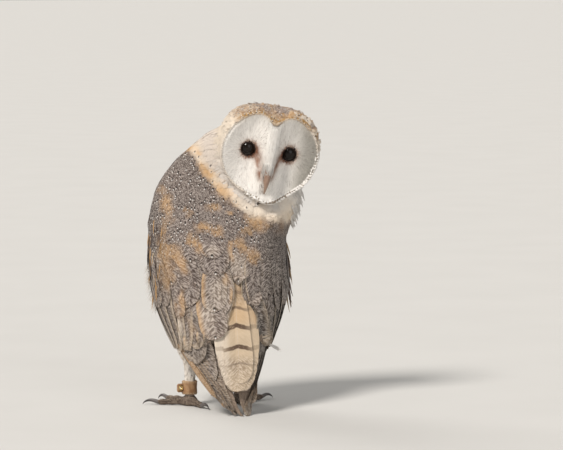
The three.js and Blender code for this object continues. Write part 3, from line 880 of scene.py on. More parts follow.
def finish_piece(piece, material, slot, *nodes):
    """Gives a piece its material and body, and hides the nodes that it replaces; the slot is not
    used.
    """
    piece.data.materials.append(material)
    piece.data.shade_smooth()
    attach(piece, "root")
    if nodes:
        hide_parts(*nodes)
    return piece


# ---------- materials ----------


class Nodes:
    """The nodes of one material. Each method returns an output that the others take."""

    def __init__(self, name):
        self.material = bpy.data.materials.new(name)
        self.material.use_nodes = True
        self.tree = self.material.node_tree
        self.shader = self.tree.nodes["Principled BSDF"]

    def put(self, socket, value):
        if isinstance(value, bpy.types.NodeSocket):
            self.tree.links.new(value, socket)
        elif socket.type == "RGBA":
            socket.default_value = (*value, 1)
        else:
            socket.default_value = value

    def node(self, kind, *values, **settings):
        node = self.tree.nodes.new("ShaderNode" + kind)
        for key, value in settings.items():
            setattr(node, key, value)
        for socket, value in zip(node.inputs, values):
            if value is not None:
                self.put(socket, value)
        return node

    def math(self, operation, *values):
        return self.node("Math", *values, operation=operation).outputs[0]

    def times(self, a, b):
        return self.math("MULTIPLY", a, b)

    def plus(self, a, b):
        return self.math("ADD", a, b)

    def less(self, a, b):
        return self.math("SUBTRACT", a, b)

    def rest(self, share):
        return self.less(1.0, share)

    def shared(self, value, low, high):
        """0 at low, 1 at high, smooth between them."""
        node = self.node("MapRange", interpolation_type="SMOOTHSTEP")
        for key, number in (("Value", value), ("From Min", low), ("From Max", high)):
            self.put(node.inputs[key], number)
        return node.outputs[0]

    def blend(self, share, a, b, how="MIX"):
        node = self.node("Mix", data_type="RGBA", blend_type=how)
        self.put(node.inputs[0], share)
        self.put(node.inputs[6], a)
        self.put(node.inputs[7], b)
        return node.outputs[2]

    def stained(self, colour, by):
        return self.blend(1.0, colour, by, "MULTIPLY")

    def attribute(self, name):
        return self.node("Attribute", attribute_name=name)

    def vector(self, x, y, z):
        return self.node("CombineXYZ", x, y, z).outputs[0]

    def parts(self, vector):
        return self.node("SeparateXYZ", vector).outputs

    def places(self):
        """Places on the piece in millimetres."""
        at = self.node("TexCoord").outputs["Object"]
        return self.node("VectorMath", at, (1000, 1000, 1000), operation="MULTIPLY").outputs[0]

    def noise(self, vector, size, detail=2.0, rough=0.5):
        """Noise from 0 to 1 with features of about this many millimetres."""
        node = self.node("TexNoise")
        self.put(node.inputs["Vector"], vector)
        self.put(node.inputs["Scale"], 0.5 / size)
        self.put(node.inputs["Detail"], detail)
        self.put(node.inputs["Roughness"], rough)
        return node.outputs[0]

    def plates(self, vector, scale, crease):
        """Small plates: 1 on each, and 0 in the creases between them."""
        node = self.node("TexVoronoi", feature="DISTANCE_TO_EDGE")
        self.put(node.inputs["Vector"], vector)
        self.put(node.inputs["Scale"], scale)
        return self.shared(node.outputs[0], 0.0, crease)

    def bumped(self, height, millimetres, strength):
        node = self.node("Bump")
        self.put(node.inputs["Strength"], strength)
        self.put(node.inputs["Distance"], millimetres * MM)
        self.put(node.inputs["Height"], height)
        self.put(self.shader.inputs["Normal"], node.outputs[0])

    def finish(self, colour, rough, **sockets):
        self.put(self.shader.inputs["Base Color"], colour)
        self.put(self.shader.inputs["Roughness"], rough)
        for key, value in sockets.items():
            self.put(self.shader.inputs[key.replace("_", " ").title().replace("Ior", "IOR")], value)
        return self.material


NEAR_BLACK = (0.035, 0.027, 0.024)
DROP_WHITE = (0.70, 0.68, 0.65)
BAR_BROWN = (0.11, 0.07, 0.048)
EDGE_CREAM = (0.72, 0.58, 0.42)
RACHIS = (0.60, 0.52, 0.44)
# the mottling: how much darker its waves are, and the tint that they are turned toward between
MOTTLE_DARK, MOTTLE_PALE, MOTTLE_SHARE = (0.43, 0.40, 0.39), (0.70, 0.63, 0.57), 0.40
BARB_DARK = (0.55, 0.52, 0.50)
# black and white drops: how far behind the tip, half length, half width beside the shaft's, tint
DROPS = ((3.3, 1.6, 1.15, NEAR_BLACK), (1.9, 0.68, 0.62, DROP_WHITE))


def repeated_bars(n, slant, seed, waviness, period):
    """Bars that repeat along each feather: the share of the bar's tint."""
    phase = n.plus(n.math("DIVIDE", n.plus(slant, seed), period), n.times(waviness, 0.35))
    off = n.math("ABSOLUTE", n.less(n.math("FRACT", phase), 0.5))
    return n.times(n.rest(n.shared(off, 0.09, 0.17)), 0.85)


def level_bars(n, bars, aside, waves):
    """Bars at given heights, as (middle, half width, strength): the share of the bar's tint."""
    where = n.places()
    wobble = n.times(n.less(n.noise(where, 2.5), 0.5), 3.0)
    level = n.plus(n.parts(where)[2], n.plus(wobble, n.times(aside, 0.26)))
    total = 0.0
    for middle, reach, strength in bars:
        off = n.math("ABSOLUTE", n.less(level, middle))
        band = n.rest(n.shared(off, reach - 0.5, reach + 0.6))
        total = n.math("MAXIMUM", total, n.times(band, strength))
    return n.times(total, n.shared(waves, 0.18, 0.42))


def plumage(name, bars=(), period=0.0):
    """Vanes with barbs, a shaft, fine wavy mottling, a drop near the tip, and bars."""
    n = Nodes(name)
    coat = n.attribute("coat").outputs["Color"]
    marks = n.attribute("marks")
    mottle, drop, barred = n.parts(marks.outputs["Color"])
    across, from_tip, size = n.parts(n.attribute("vane").outputs["Vector"])
    aside = n.math("ABSOLUTE", across)
    seed = n.times(marks.outputs["Alpha"], 97.0)
    slant = n.plus(from_tip, n.times(aside, 0.8))
    # the mottling is finer on small feathers
    finer = n.less(1.6, n.times(n.shared(size, 3.0, 9.0), 0.6))
    on_vane = n.node("VectorMath", n.vector(n.times(across, 0.38), slant, seed), operation="SCALE")
    n.put(on_vane.inputs["Scale"], finer)
    on_vane = on_vane.outputs[0]
    waves = n.noise(on_vane, 0.62, 2.5, 0.6)
    mottled = n.blend(n.shared(waves, 0.40, 0.62), n.stained(coat, MOTTLE_DARK),
                      n.blend(MOTTLE_SHARE, coat, MOTTLE_PALE))
    colour = n.blend(mottle, coat, mottled)
    barbs = n.noise(n.vector(slant, n.times(across, 0.04), seed), 0.28, 1.0)
    colour = n.blend(n.times(n.shared(barbs, 0.35, 0.7), 0.2), colour, n.stained(colour, BARB_DARK))
    rachis = n.rest(n.shared(aside, 0.10, 0.32))
    colour = n.blend(n.times(rachis, n.times(size, 0.035)), colour, RACHIS)
    if period:
        share = repeated_bars(n, slant, seed, n.noise(on_vane, 3.0), period)
        colour = n.blend(n.times(share, barred), colour, BAR_BROWN)
    if bars:
        share = level_bars(n, bars, aside, waves)
        colour = n.blend(n.times(share, barred), colour, BAR_BROWN)
    # a black drop along the shaft, with a white one at the end of it
    wide = n.math("DIVIDE", across, n.plus(0.60, n.times(size, 0.05)))
    wide = n.times(wide, wide)
    for behind_tip, length, reach, ink in DROPS:
        high = n.times(n.less(from_tip, behind_tip), 1 / length)
        out = n.plus(n.times(high, high), n.times(wide, 1 / reach**2))
        spot = n.rest(n.shared(out, 0.75, 1.2))
        colour = n.blend(n.times(spot, drop), colour, ink)
    colour = n.blend(n.attribute("edging").outputs["Fac"], colour, EDGE_CREAM)
    n.bumped(n.plus(n.times(barbs, 0.7), rachis), 0.2, 0.45)
    return n.finish(colour, n.plus(0.64, n.times(waves, 0.25)), sheen_weight=0.10,
                    sheen_roughness=0.45, specular_ior_level=0.22)


def under_coat(name):
    """The skin, coloured like the coat over it, with a soft downy grain."""
    n = Nodes(name)
    coat = n.attribute("coat").outputs["Color"]
    where = n.places()
    down = n.noise(where, 0.8, 4.0, 0.65)
    shade = n.blend(n.shared(down, 0.35, 0.65), (0.55, 0.50, 0.47), (0.95, 0.92, 0.90))
    n.bumped(down, 0.5, 0.7)
    return n.finish(n.stained(coat, shade), n.plus(0.75, n.times(down, 0.15)), sheen_weight=0.1,
                    sheen_roughness=0.5, specular_ior_level=0.2)


def soft_face(name):
    """The silky filaments of the face."""
    n = Nodes(name)
    coat = n.attribute("coat").outputs["Color"]
    across, from_tip, _ = n.parts(n.attribute("vane").outputs["Vector"])
    seed = n.attribute("marks").outputs["Alpha"]
    along = n.vector(n.times(across, 2.0), n.times(from_tip, 0.25), n.times(seed, 83.0))
    strands = n.noise(along, 0.5, 2.0)
    tone = n.blend(n.shared(strands, 0.3, 0.7), (0.92, 0.91, 0.90), (1.0, 1.0, 1.0))
    tone = n.blend(n.times(seed, 0.12), tone, (0.80, 0.78, 0.76))
    n.bumped(strands, 0.15, 0.4)
    return n.finish(n.stained(coat, tone), n.plus(0.6, n.times(strands, 0.2)), sheen_weight=0.12,
                    sheen_roughness=0.4, specular_ior_level=0.25)


def eye_surface():
    n = Nodes("eye_surface")
    where = n.places()
    depth = n.noise(where, 3.0, 2.0)
    colour = n.blend(depth, (0.004, 0.003, 0.0025), (0.012, 0.007, 0.005))
    wet = n.plus(0.04, n.times(n.noise(where, 1.2), 0.03))
    return n.finish(colour, wet, specular_ior_level=0.22)


def horn(name, pale, dark, tip_at, root_at, rough=0.38):
    """Bill or claw: growth bands, fine scratches, and a colour that runs along it."""
    n = Nodes(name)
    along = n.attribute("along").outputs["Fac"]
    where = n.places()
    colour = n.blend(n.shared(along, tip_at, root_at), dark, pale)
    stains = n.noise(where, 2.2, 4.0, 0.6)
    stained = n.stained(colour, (0.55, 0.47, 0.42))
    colour = n.blend(n.times(n.shared(stains, 0.42, 0.7), 0.45), colour, stained)
    bands = n.noise(n.vector(n.times(along, 24.0), 0.0, 0.0), 0.5)
    n.bumped(n.plus(bands, n.times(n.noise(where, 0.3, 2.0), 0.6)), 0.2, 0.4)
    return n.finish(colour, n.plus(rough, n.times(stains, 0.22)), coat_weight=0.15,
                    coat_roughness=0.2, specular_ior_level=0.45)


def toe_surface():
    """Scaly skin: small plates with dark creases between them and dust on the plates."""
    n = Nodes("toe_surface")
    where = n.places()
    plate = n.plates(where, 0.85, 0.16)
    dust = n.noise(where, 2.5, 4.0, 0.6)
    colour = n.blend(n.shared(dust, 0.35, 0.7), (0.16, 0.115, 0.085), (0.33, 0.26, 0.20))
    colour = n.blend(n.rest(plate), colour, (0.055, 0.038, 0.03))
    n.bumped(n.plus(plate, n.times(n.noise(where, 0.4, 2.0), 0.3)), 0.35, 0.8)
    return n.finish(colour, n.plus(0.55, n.times(dust, 0.25)), specular_ior_level=0.35)


def leather():
    n = Nodes("leather")
    where = n.places()
    grain = n.plates(where, 1.7, 0.25)
    wear = n.noise(where, 3.2, 4.0, 0.6)
    colour = n.blend(n.shared(wear, 0.35, 0.68), (0.30, 0.155, 0.07), (0.47, 0.29, 0.155))
    colour = n.blend(n.attribute("edging").outputs["Fac"], colour, (0.56, 0.40, 0.25))
    colour = n.blend(n.times(n.rest(grain), 0.4), colour, (0.14, 0.07, 0.035))
    n.bumped(n.plus(grain, n.times(wear, 0.8)), 0.2, 0.5)
    return n.finish(colour, n.plus(0.5, n.times(wear, 0.25)), specular_ior_level=0.4)


def brass():
    n = Nodes("brass")
    where = n.places()
    tarnish = n.noise(where, 1.6, 5.0, 0.65)
    colour = n.blend(n.shared(tarnish, 0.4, 0.75), (0.78, 0.57, 0.24), (0.33, 0.21, 0.09))
    n.bumped(n.noise(where, 0.4, 3.0), 0.06, 0.4)
    return n.finish(colour, n.plus(0.2, n.times(tarnish, 0.3)), metallic=1.0)


def thread_surface():
    n = Nodes("thread")
    twist = n.noise(n.places(), 0.25, 2.0)
    n.bumped(twist, 0.1, 0.5)
    return n.finish(n.blend(twist, (0.34, 0.24, 0.15), (0.55, 0.43, 0.30)), 0.8)


def floor_surface():
    n = Nodes("floor_surface")
    tone = n.noise(n.places(), 60.0, 3.0)
    return n.finish(n.blend(tone, (0.60, 0.59, 0.57), (0.64, 0.63, 0.61)), 0.9)


# middle, half width and strength of each bar across the tail
TAIL_BARS = [(92, 2.2, 1.0), (71.5, 2.1, 1.0), (110, 1.5, 0.7), (55, 0.9, 0.5), (126, 1.8, 0.5)]
FEATHERED = plumage("plumage")
TAILED = plumage("tail_plumage", bars=TAIL_BARS)
WINGED = plumage("flight_plumage", period=20.0)
SKINNED = under_coat("under_coat")
FACED = soft_face("face_plumage")
TOED = toe_surface()


# ---------- regions of the outline ----------

SPACING = {"crown": 1.85, "neck": 2.5, "upper": 2.8, "under": 3.3, "leg": 2.7}


def regions_at(points):
    """The tract that each place belongs to, from the node it lies on and its side."""
    names = nodes_at(points)
    x, y = points[:, 0], points[:, 1]
    behind = y > -14 - 0.2 * np.abs(x)
    region = np.full(len(points), "none", dtype="<U6")
    region[names == "head"] = "crown"
    region[names == "neck"] = "neck"
    on_trunk = names == "trunk"
    region[on_trunk & behind] = "upper"
    region[on_trunk & ~behind] = "under"
    region[np.isin(names, COVERT_NODES)] = "upper"
    region[np.isin(names, ["leg_left", "leg_right", "shank_left", "shank_right"])] = "leg"
    q = to_head(points)
    share = face_polar(q[:, 0], q[:, 2])[1]
    faced = (share < 0.96) & (q[:, 1] < 4)
    region[np.isin(names, ["head", "face_disc"]) & faced] = "face"
    region[(names == "face_disc") & ~faced] = "crown"
    return region


def spacing_at(points):
    region = regions_at(points)
    gaps = np.full(len(points), 6.0)
    for name, gap in SPACING.items():
        gaps[region == name] = gap
    return gaps


def wanted_at(points):
    region = regions_at(points)
    x, y, z = points.T
    low = (region == "upper") & (z < mix(150, 128, bump(x + 2, 12))) & (y > -20)
    return np.isin(region, list(SPACING)) & ~low


roots = outline.scatter(spacing_at, wanted_at)
_, root_normals = outline.nearest(roots)
roots = roots[outline.open_to_air(roots, root_normals)]
root_regions = regions_at(roots)


# ---------- the kinds of feather ----------

ROUND = [(0, 0.3), (0.15, 0.72), (0.4, 0.95), (0.7, 1), (1, 0.96)]
SOFT = [(0, 0.3), (0.2, 0.8), (0.5, 1), (0.8, 0.95), (1, 0.8)]
SMALL = Form(6, 6, ROUND, teeth=0.13, ragged=0.2)
FLUFF = Form(6, 6, SOFT, teeth=0.2, ragged=0.3, camber=0.06)
FINE = Form(6, 4, [(0, 0.4), (0.25, 1), (0.65, 0.9), (1, 0.5)], teeth=0.22, ragged=0.3, camber=0.06)
DOWN = Form(5, 4, [(0, 0.4), (0.3, 1), (0.7, 0.8), (1, 0.3)], teeth=0.16, ragged=0.4)
FILAMENT = Form(3, 2, [(0, 1), (0.5, 0.85), (1, 0.1)], blunt=0)
CURL = Form(5, 6, [(0, 0.75), (0.4, 1), (1, 0.95)], teeth=0.02, curl=0.34, camber=0.45)
WISP = Form(8, 2, [(0, 1), (0.5, 0.9), (1, 0.12)], blunt=0, teeth=0.05, ragged=0.5)


def lay(form, places, lie, length, half, depth, lift, colours, sway=0.10, steps=6,
        surface=outline, **more):
    """Feathers of one form that start at these places and follow the lie of the coat."""
    count = len(places)
    lengths = length * rng.uniform(0.85, 1.15, count)
    path, ups = follow(surface, places, lie, lengths, steps, sway * rng.standard_normal(count))
    lifts = lift * rng.uniform(0.2, 1.8, count)
    halves = half * rng.uniform(0.88, 1.12, count)
    return Feathers(form, path, ups, lengths, halves, depth, lifts, colours, **more)


def of_region(name, keep=None):
    chosen = root_regions == name
    if keep is not None:
        chosen &= keep
    return roots[chosen]


def some(share, places):
    """1 for this share of the feathers, and 0 for the others."""
    return (rng.random(len(places)) < share).astype(float)


def strands(starts, ends, half, colours, ups=(0.3, 1.0, 0.1), bend=0.06, form=WISP, **more):
    """Loose narrow feathers from place to place, each bowed a little to one side."""
    starts, ends = np.asarray(starts, float), np.asarray(ends, float)
    steps = 8
    t = np.linspace(0, 1, steps + 1)[None, :, None]
    way = ends - starts
    lengths = np.linalg.norm(way, axis=1)
    side = unit(np.cross(way, ups))
    bow = rng.uniform(-1, 1, (len(starts), 1, 1)) * bend
    path = starts[:, None] + way[:, None] * t
    path = path + side[:, None] * bow * lengths[:, None, None] * t * (1 - t) * 4
    facing = np.broadcast_to(unit(np.asarray(ups, float)), path.shape)
    return Feathers(form, path, facing, lengths, half, 0.0, 0.0, colours, **more)


left = roots[:, 0] > 0
crown = of_region("crown")
q = to_head(crown)
cheek = np.abs(around_crown(face_polar(q[:, 0], q[:, 2])[0])) > 72
brow, cheek = crown[~cheek], crown[cheek]
joined("coat_crown", [lay(FINE, brow, lie_of_head, 6.8, 1.7, 1.3, 0.35, crown_side,
                          drops=some(0.45, brow), own=0.5, shade=0.14),
                      lay(SMALL, brow[::7], lie_of_head, 6.0, 1.4, 0.3, 1.1, crown_side,
                          drops=0.0, sway=0.4),
                      lay(FINE, cheek, lie_of_head, 8.5, 1.7, 1.4, 0.0, crown_side,
                          drops=some(0.15, cheek), shade=0.03, sway=0.16)],
       unwrap_head, FEATHERED, "head_feathers")
nape = of_region("neck")
joined("coat_neck", [lay(FLUFF, nape, lie_of_neck, 10, 2.5, 0.9, 0.15, back_side,
                         drops=some(0.42, nape), shade=0.05, sway=0.16)],
       unwrap_round, FEATHERED, "neck_feathers")
for side, chosen in (("left", left), ("right", ~left)):
    back, front = of_region("upper", chosen), of_region("under", chosen)
    joined(f"coat_upper_{side}",
           [lay(SMALL, back, lie_of_body, 11, 3.0, 1.1, 0.2, back_side, drops=some(0.44, back),
                own=0.4)],
           unwrap_round, FEATHERED, "body_feathers")
    joined(f"coat_under_{side}",
           [lay(FLUFF, front, lie_of_body, 13.5, 3.3, 1.5, 0.15, under_side,
                drops=some(0.6, front), sway=0.16, shade=0.03)],
           unwrap_round, FEATHERED, "body_feathers")
joined("coat_legs", [lay(DOWN, of_region("leg"), lie_of_body, 9, 2.4, 1.2, 0.4, leg_side)],
       unwrap_round, FEATHERED, "leg_feathers")


# ---------- the face ----------


def on_face(x, z):
    """Places on the dishes and the ridge, from places across the disc."""
    return from_head(face_place(x, z))


def at_rim(angle, share):
    """Places near the rim of the disc, in the head's frame: a share of 1 is on the rim."""
    radius = share * disc_radius(angle)
    return face_place(radius * np.sin(np.radians(angle)), radius * np.cos(np.radians(angle)))


class Face:
    """The dishes and the ridge as a surface, so that filaments can follow it."""

    def nearest(self, points):
        x, _, z = to_head(points).T
        return on_face(x, z), face_normal(x, z) @ HEAD_TURN.T


def lie_of_face(points):
    """Filaments radiate from each eye; those of the ridge run down to the bill."""
    q = to_head(points)
    x, z = q[:, 0], q[:, 2]
    side = np.where(x < 0, -1, 1)
    from_eye = np.stack([x - side * EYE_SPACING / 2, z], 1)
    away = unit(from_eye)
    ridge = bump(x, 8) * smooth(z, -26, -12)
    down = np.stack([0.35 * side, -np.ones(len(x))], 1)
    way = unit(mix(away, down, ridge[:, None]))
    flat = np.stack([way[:, 0], np.zeros(len(x)), way[:, 1]], 1)
    return flat @ HEAD_TURN.T


def face_roots(spacing, reach):
    """Places on the disc, at least this far apart."""
    count = int(6 * (2 * DISC_RADIUS) ** 2 / spacing**2)
    x, z = rng.uniform(-56, 56, (2, count))
    share = face_polar(x, z)[1]
    eye = np.hypot(np.abs(x) - EYE_SPACING / 2, z)
    inside = (share < reach) & (eye > 8.4)
    flat = np.stack([x, 0 * x, z], 1)[inside]
    kept = flat[spread(flat, np.full(len(flat), spacing))]
    return on_face(kept[:, 0], kept[:, 2])


def clear_of_bill(places):
    """Leaves the bill bare below the bristles at its base."""
    q = to_head(places)
    return ~((np.abs(q[:, 0]) < 4.2) & (q[:, 2] < -18) & (q[:, 2] > -42))


def short_of_rim(places, longest):
    """Filament lengths that end inside the ruff."""
    q = to_head(places)
    angle, share = face_polar(q[:, 0], q[:, 2])
    return np.clip((0.95 - share) * disc_radius(angle), 1.6, longest)


face = Face()
filaments = face_roots(0.76, 0.91)
filaments = filaments[clear_of_bill(filaments)]
for side, sign in SIDES.items():
    half_face = filaments[sign * to_head(filaments)[:, 0] > 0]
    outer = smooth(np.abs(to_head(half_face)[:, 0]), 20, 40)
    joined(f"coat_face_{side}",
           [lay(FILAMENT, half_face, lie_of_face, short_of_rim(half_face, 7.0), 0.30,
                mix(0.0, -1.5, outer), 0.25, face_side, sway=0.07, steps=3, surface=face,
                own=0.5, shade=0.085)],
           unwrap_head, FACED, "face_feathers")


LASH_PALE, LASH_DARK = np.array([0.62, 0.46, 0.37]), np.array([0.27, 0.12, 0.07])


def lash_colours(points):
    """Dark rusty lashes, paler away from the bill."""
    q = to_head(points)
    inward = EYE_SPACING / 2 - np.abs(q[:, 0])
    near = smooth(inward - 0.6 * q[:, 2], -4, 8)
    return tinted(LASH_PALE, LASH_DARK, near), marks_of(points)


def ring_of_lashes(side, count):
    turn = rng.uniform(0, 2 * np.pi, count)
    r = rng.uniform(7.2, 8.8, count)
    return on_face(side * EYE_SPACING / 2 + r * np.cos(turn), r * np.sin(turn))


def bristle_colours(points):
    return tinted(WHITE * 0.95, WHITE * 0.55, clouds(points, 2.0, 51)), marks_of(points)


RIDGE_UP = HEAD_TURN @ np.array([0, -1.0, 0.3])
lashes = np.concatenate([ring_of_lashes(-1, 150), ring_of_lashes(1, 150)])
x, z = rng.uniform(-5.0, 5.0, 240), rng.uniform(-18, -8, 240)
starts = on_face(x, z)
x, z = 1.15 * x, z - rng.uniform(5.0, 8.0, 240)
ends = face_place(x, z) - np.stack([0 * x, 0.5 + 3.4 * np.clip(1 - (x / 5.2)**2, 0, 1), 0 * x], 1)
bristles = strands(starts, from_head(ends), 0.24, bristle_colours, ups=RIDGE_UP, bend=0.15,
                   form=FILAMENT)
x, z = rng.uniform(-2.4, 2.4, 280), rng.uniform(-13, 29, 280)
starts = on_face(x, z)
ends = face_place(1.4 * x, z - rng.uniform(5.0, 7.5, 280)) - np.array([0, 0.5, 0])
ridge_top = strands(starts, from_head(ends), 0.27, face_side, ups=RIDGE_UP, bend=0.12,
                    form=FILAMENT)
joined("coat_lashes",
       [lay(FILAMENT, lashes, lie_of_face, 3.4, 0.16, 0.0, 0.5, lash_colours, sway=0.3, steps=3,
            surface=face),
        bristles, ridge_top],
       unwrap_head, FACED, "face_feathers")


def ruff_strength(angle):
    """How strong the brow is at each angle, and the rope from the chin up the left side."""
    brow = smooth(61 - np.abs(around_crown(angle)), 0, 14)
    rope = smooth(26 - from_chin(angle), 0, 12) * smooth(from_chin(angle), -104, -86)
    return brow, rope


RUFF_GOLD = np.array([0.40, 0.225, 0.065])
# for each row of the brow: how much of it is brown gold, and how dark its specks are
BROW_ROWS = ((0.55, 0.0), (1.0, 0.9), (1.0, 0.2), (0.9, 0.9))


def ruff_colours(row):
    """A row of the ruff: brown gold at the brow, and white or cream at the sides."""

    def colours(points):
        q = to_head(points)
        angle = face_polar(q[:, 0], q[:, 2])[0]
        brow, rope = ruff_strength(angle + 8 * (clouds(points, 6, 31) - 0.5))
        golden, speck = BROW_ROWS[row]
        tint = tinted(tinted(mix(CREAM, WHITE, 0.6), WHITE, rope), RUFF_GOLD, brow * golden)
        line = (1 - brow) * (1 - rope) * (from_chin(angle) > 0) * (row == 0)
        dots = np.maximum(brow * speck, rope * speck * 0.35)
        return tint, marks_of(points, 0.35 * brow, np.maximum(dots, 0.8 * line))

    return colours


def tuft_colours(points):
    q = to_head(points)
    angle = face_polar(q[:, 0], q[:, 2])[0]
    tint = tinted(PALE_CREAM, GOLD * 0.95, smooth(clouds(points, 3.5, 52), 0.45, 0.7))
    tint = tinted(tint, GREY * 2.2, 0.6 * smooth(clouds(points, 5, 53), 0.68, 0.8))
    tint = tinted(tint, WHITE, smooth(angle, 70, 100))
    return tint, marks_of(points, 0.3, 1)


def lie_of_ruff(points):
    q = to_head(points)
    flat = unit(np.stack([q[:, 0], 0 * q[:, 0], q[:, 2]], 1))
    return (flat + np.array([0, 1.0, 0])) @ HEAD_TURN.T


ruff_sets = []
for row, share in enumerate((0.915, 0.95, 0.99, 1.03)):
    count = 176 - 6 * row
    angle = (np.arange(count) + 0.5 * (row % 2) + rng.uniform(-0.2, 0.2, count)) * 360 / count
    brow, rope = ruff_strength(angle)
    kept = ((brow > 0.3) | (row < 2)) & (rope < 0.5)
    angle, strength = angle[kept], brow[kept]
    places = from_head(at_rim(angle, share))
    lengths, halves, lifts = (mix(*ends, strength) for ends in ((2.6, 3.7), (0.7, 1.1), (0.1, 0.8)))
    ruff_sets.append(lay(CURL, places, lie_of_ruff, lengths, halves, 0.4, lifts,
                         ruff_colours(row), sway=0.05, steps=5, drops=some(0.5, places)))


def lie_of_rope(lean):
    """Outward and back over the rim, leaning along it."""

    def lie(points):
        q = to_head(points)
        away = unit(np.stack([q[:, 0], q[:, 2]], 1))
        flat = np.stack([away[:, 0] + lean * away[:, 1], 0 * q[:, 0],
                         away[:, 1] - lean * away[:, 0]], 1)
        return (unit(flat) + np.array([0, 0.8, 0])) @ HEAD_TURN.T

    return lie


ROPE = Form(5, 6, [(0, 0.6), (0.35, 1), (0.75, 0.85), (1, 0.45)],
            teeth=0.05, curl=0.26, camber=0.38)
BEAD_TINT, ROPE_GAP_BROWN_AND_SHADE = WHITE * 1.05, np.array([0.33, 0.27, 0.21])
# the rope below: a dark base, partly the feathers' own brown and partly painted shade between the
# beads, and white feathers in rows that lean to and fro; for each row, its place in the rim, its
# lean, tint, half width and lift
ROPE_ROWS = (
    (0.92, 0, ROPE_GAP_BROWN_AND_SHADE, 1.1, 0.2), (0.96, 0, ROPE_GAP_BROWN_AND_SHADE, 1.1, 0.3), (1.0, 0, ROPE_GAP_BROWN_AND_SHADE, 1.1, 0.3),
    (0.905, 0.8, BEAD_TINT, 1.1, 0.9), (0.95, -0.9, BEAD_TINT, 1.25, 1.3),
    (1.0, 0.9, BEAD_TINT, 1.25, 1.2),
)
for share, lean, tint, width, high in ROPE_ROWS:
    angle = np.arange(0, 360, 3.4) + rng.uniform(-0.6, 0.6, 106)
    angle = angle[ruff_strength(angle)[1] > 0.4]
    ruff_sets.append(lay(ROPE, from_head(at_rim(angle, share)), lie_of_rope(lean), 4.2, width, 0.3,
                         high, plain(tint), sway=0.05, steps=5, shade=0.1))
# cream and gold tufts of the side of the head, beyond the ruff at the upper left
for share, high in ((1.045, 0.9), (1.075, 1.3), (1.105, 1.1)):
    angle = np.arange(16, 112, 2.4) + rng.uniform(-0.7, 0.7, 40)
    places = from_head(at_rim(angle, share) + np.array([0, 55 * (share - 1), 0]))
    ruff_sets.append(lay(FINE, places, lie_of_ruff, 5.6, 1.5, 0.3, 1.7 * high, tuft_colours,
                         sway=0.16, steps=5, drops=some(0.2, places), own=0.9))
joined("coat_ruff", ruff_sets, unwrap_head, FEATHERED, "head_feathers")


# ---------- the large feathers of the wings and the tail ----------

QUILL = [(0, 0.3), (0.12, 0.8), (0.35, 1), (0.8, 1), (0.95, 0.92), (1, 0.8)]
FLIGHT = Form(22, 8, QUILL, teeth=0.008, ragged=0.02, camber=0.06, rise=0.6)
COVERT = Form(12, 10, ROUND, teeth=0.025, ragged=0.06, camber=0.08, rise=0.6)

# the wing's edges toward the tail and toward the breast: heights, and angles round the body there
PRIMARY_EDGES = (
    [(0, -3), (10, 2), (20, 6), (30, 8), (40, 11), (55, 18), (70, 30), (85, 40), (118, 52)],
    [(0, 4), (10, 14), (20, 24), (30, 35), (40, 45), (55, 62), (70, 80), (85, 92), (118, 105)],
)
COVERT_EDGES = (
    [(55, 36), (70, 30), (78, 24), (100, 15), (115, 9), (130, 6), (150, 12), (170, 26), (190, 42)],
    [(55, 74), (70, 80), (85, 94), (100, 104), (115, 111), (130, 115), (150, 120), (190, 124)],
)


def solids(nodes):
    return Surface(*node_arrays(nodes)[:2])


def eased(path, rounds):
    """A shaft without the small steps of the faceted surface that it was laid on."""
    for _ in range(rounds):
        path[:, 1:-1] = (path[:, :-2] + 2 * path[:, 1:-1] + path[:, 2:]) / 4
    return path


def shafts_on(found, count, steps, rounds):
    """Shafts from places found on a surface: their paths, the way up along them, lengths."""
    places, normals = (v.reshape(count, steps + 1, 3) for v in found)
    path, ups = eased(places, rounds), unit(eased(normals, 2 * rounds))
    return path, ups, np.linalg.norm(np.diff(path, axis=1), axis=2).sum(1)


def quills(surface, edges, sign, across, root_heights, tip_heights, half, depth, lift, colours,
           form=FLIGHT, steps=14, strip=(0.02, 0.08), **more):
    """Large feathers side by side between the edges of a wing: across is 0 at the tail's side."""
    across, root_heights, tip_heights = (
        np.asarray(v, float)[:, None] for v in np.broadcast_arrays(across, root_heights,
                                                                   tip_heights))
    heights = mix(root_heights, tip_heights, np.linspace(0, 1, steps + 1)[None])
    inner, outer = (between(rows, heights) for rows in edges)
    angles = sign * mix(inner, outer, across)
    shafts = shafts_on(surface.around(angles.ravel(), heights.ravel()), len(across), steps, 3)
    return Feathers(form, *shafts, half, depth, lift, colours, patch=strip, **more)


def flight_colours(points):
    """Grey-brown and mottled, paler and wavy toward the tail's side of the wing."""
    x, z = points[:, 0], points[:, 2]
    tint = tinted(PALE_GREY * 0.66, PALE_GREY * 0.94, bump(np.abs(x) - 18, 14)
                  * smooth(z, 70, 110) * (x > 0))
    # painted shade, with a little of the wing's own darker tone: the right wing is made much darker,
    # as it lies in shade
    tint = shaded(tint, 0.86, 0.30, smooth(-x, 4, 26) * smooth(z, 20, 60))
    tint = tinted(tint, GOLD * 0.9, 0.7 * gold_share(points))
    tint = shaded(tint, 0.86, 1.14, clouds(points, 8, 41))
    return tint, marks_of(points, 0.85, 0, 0.12)


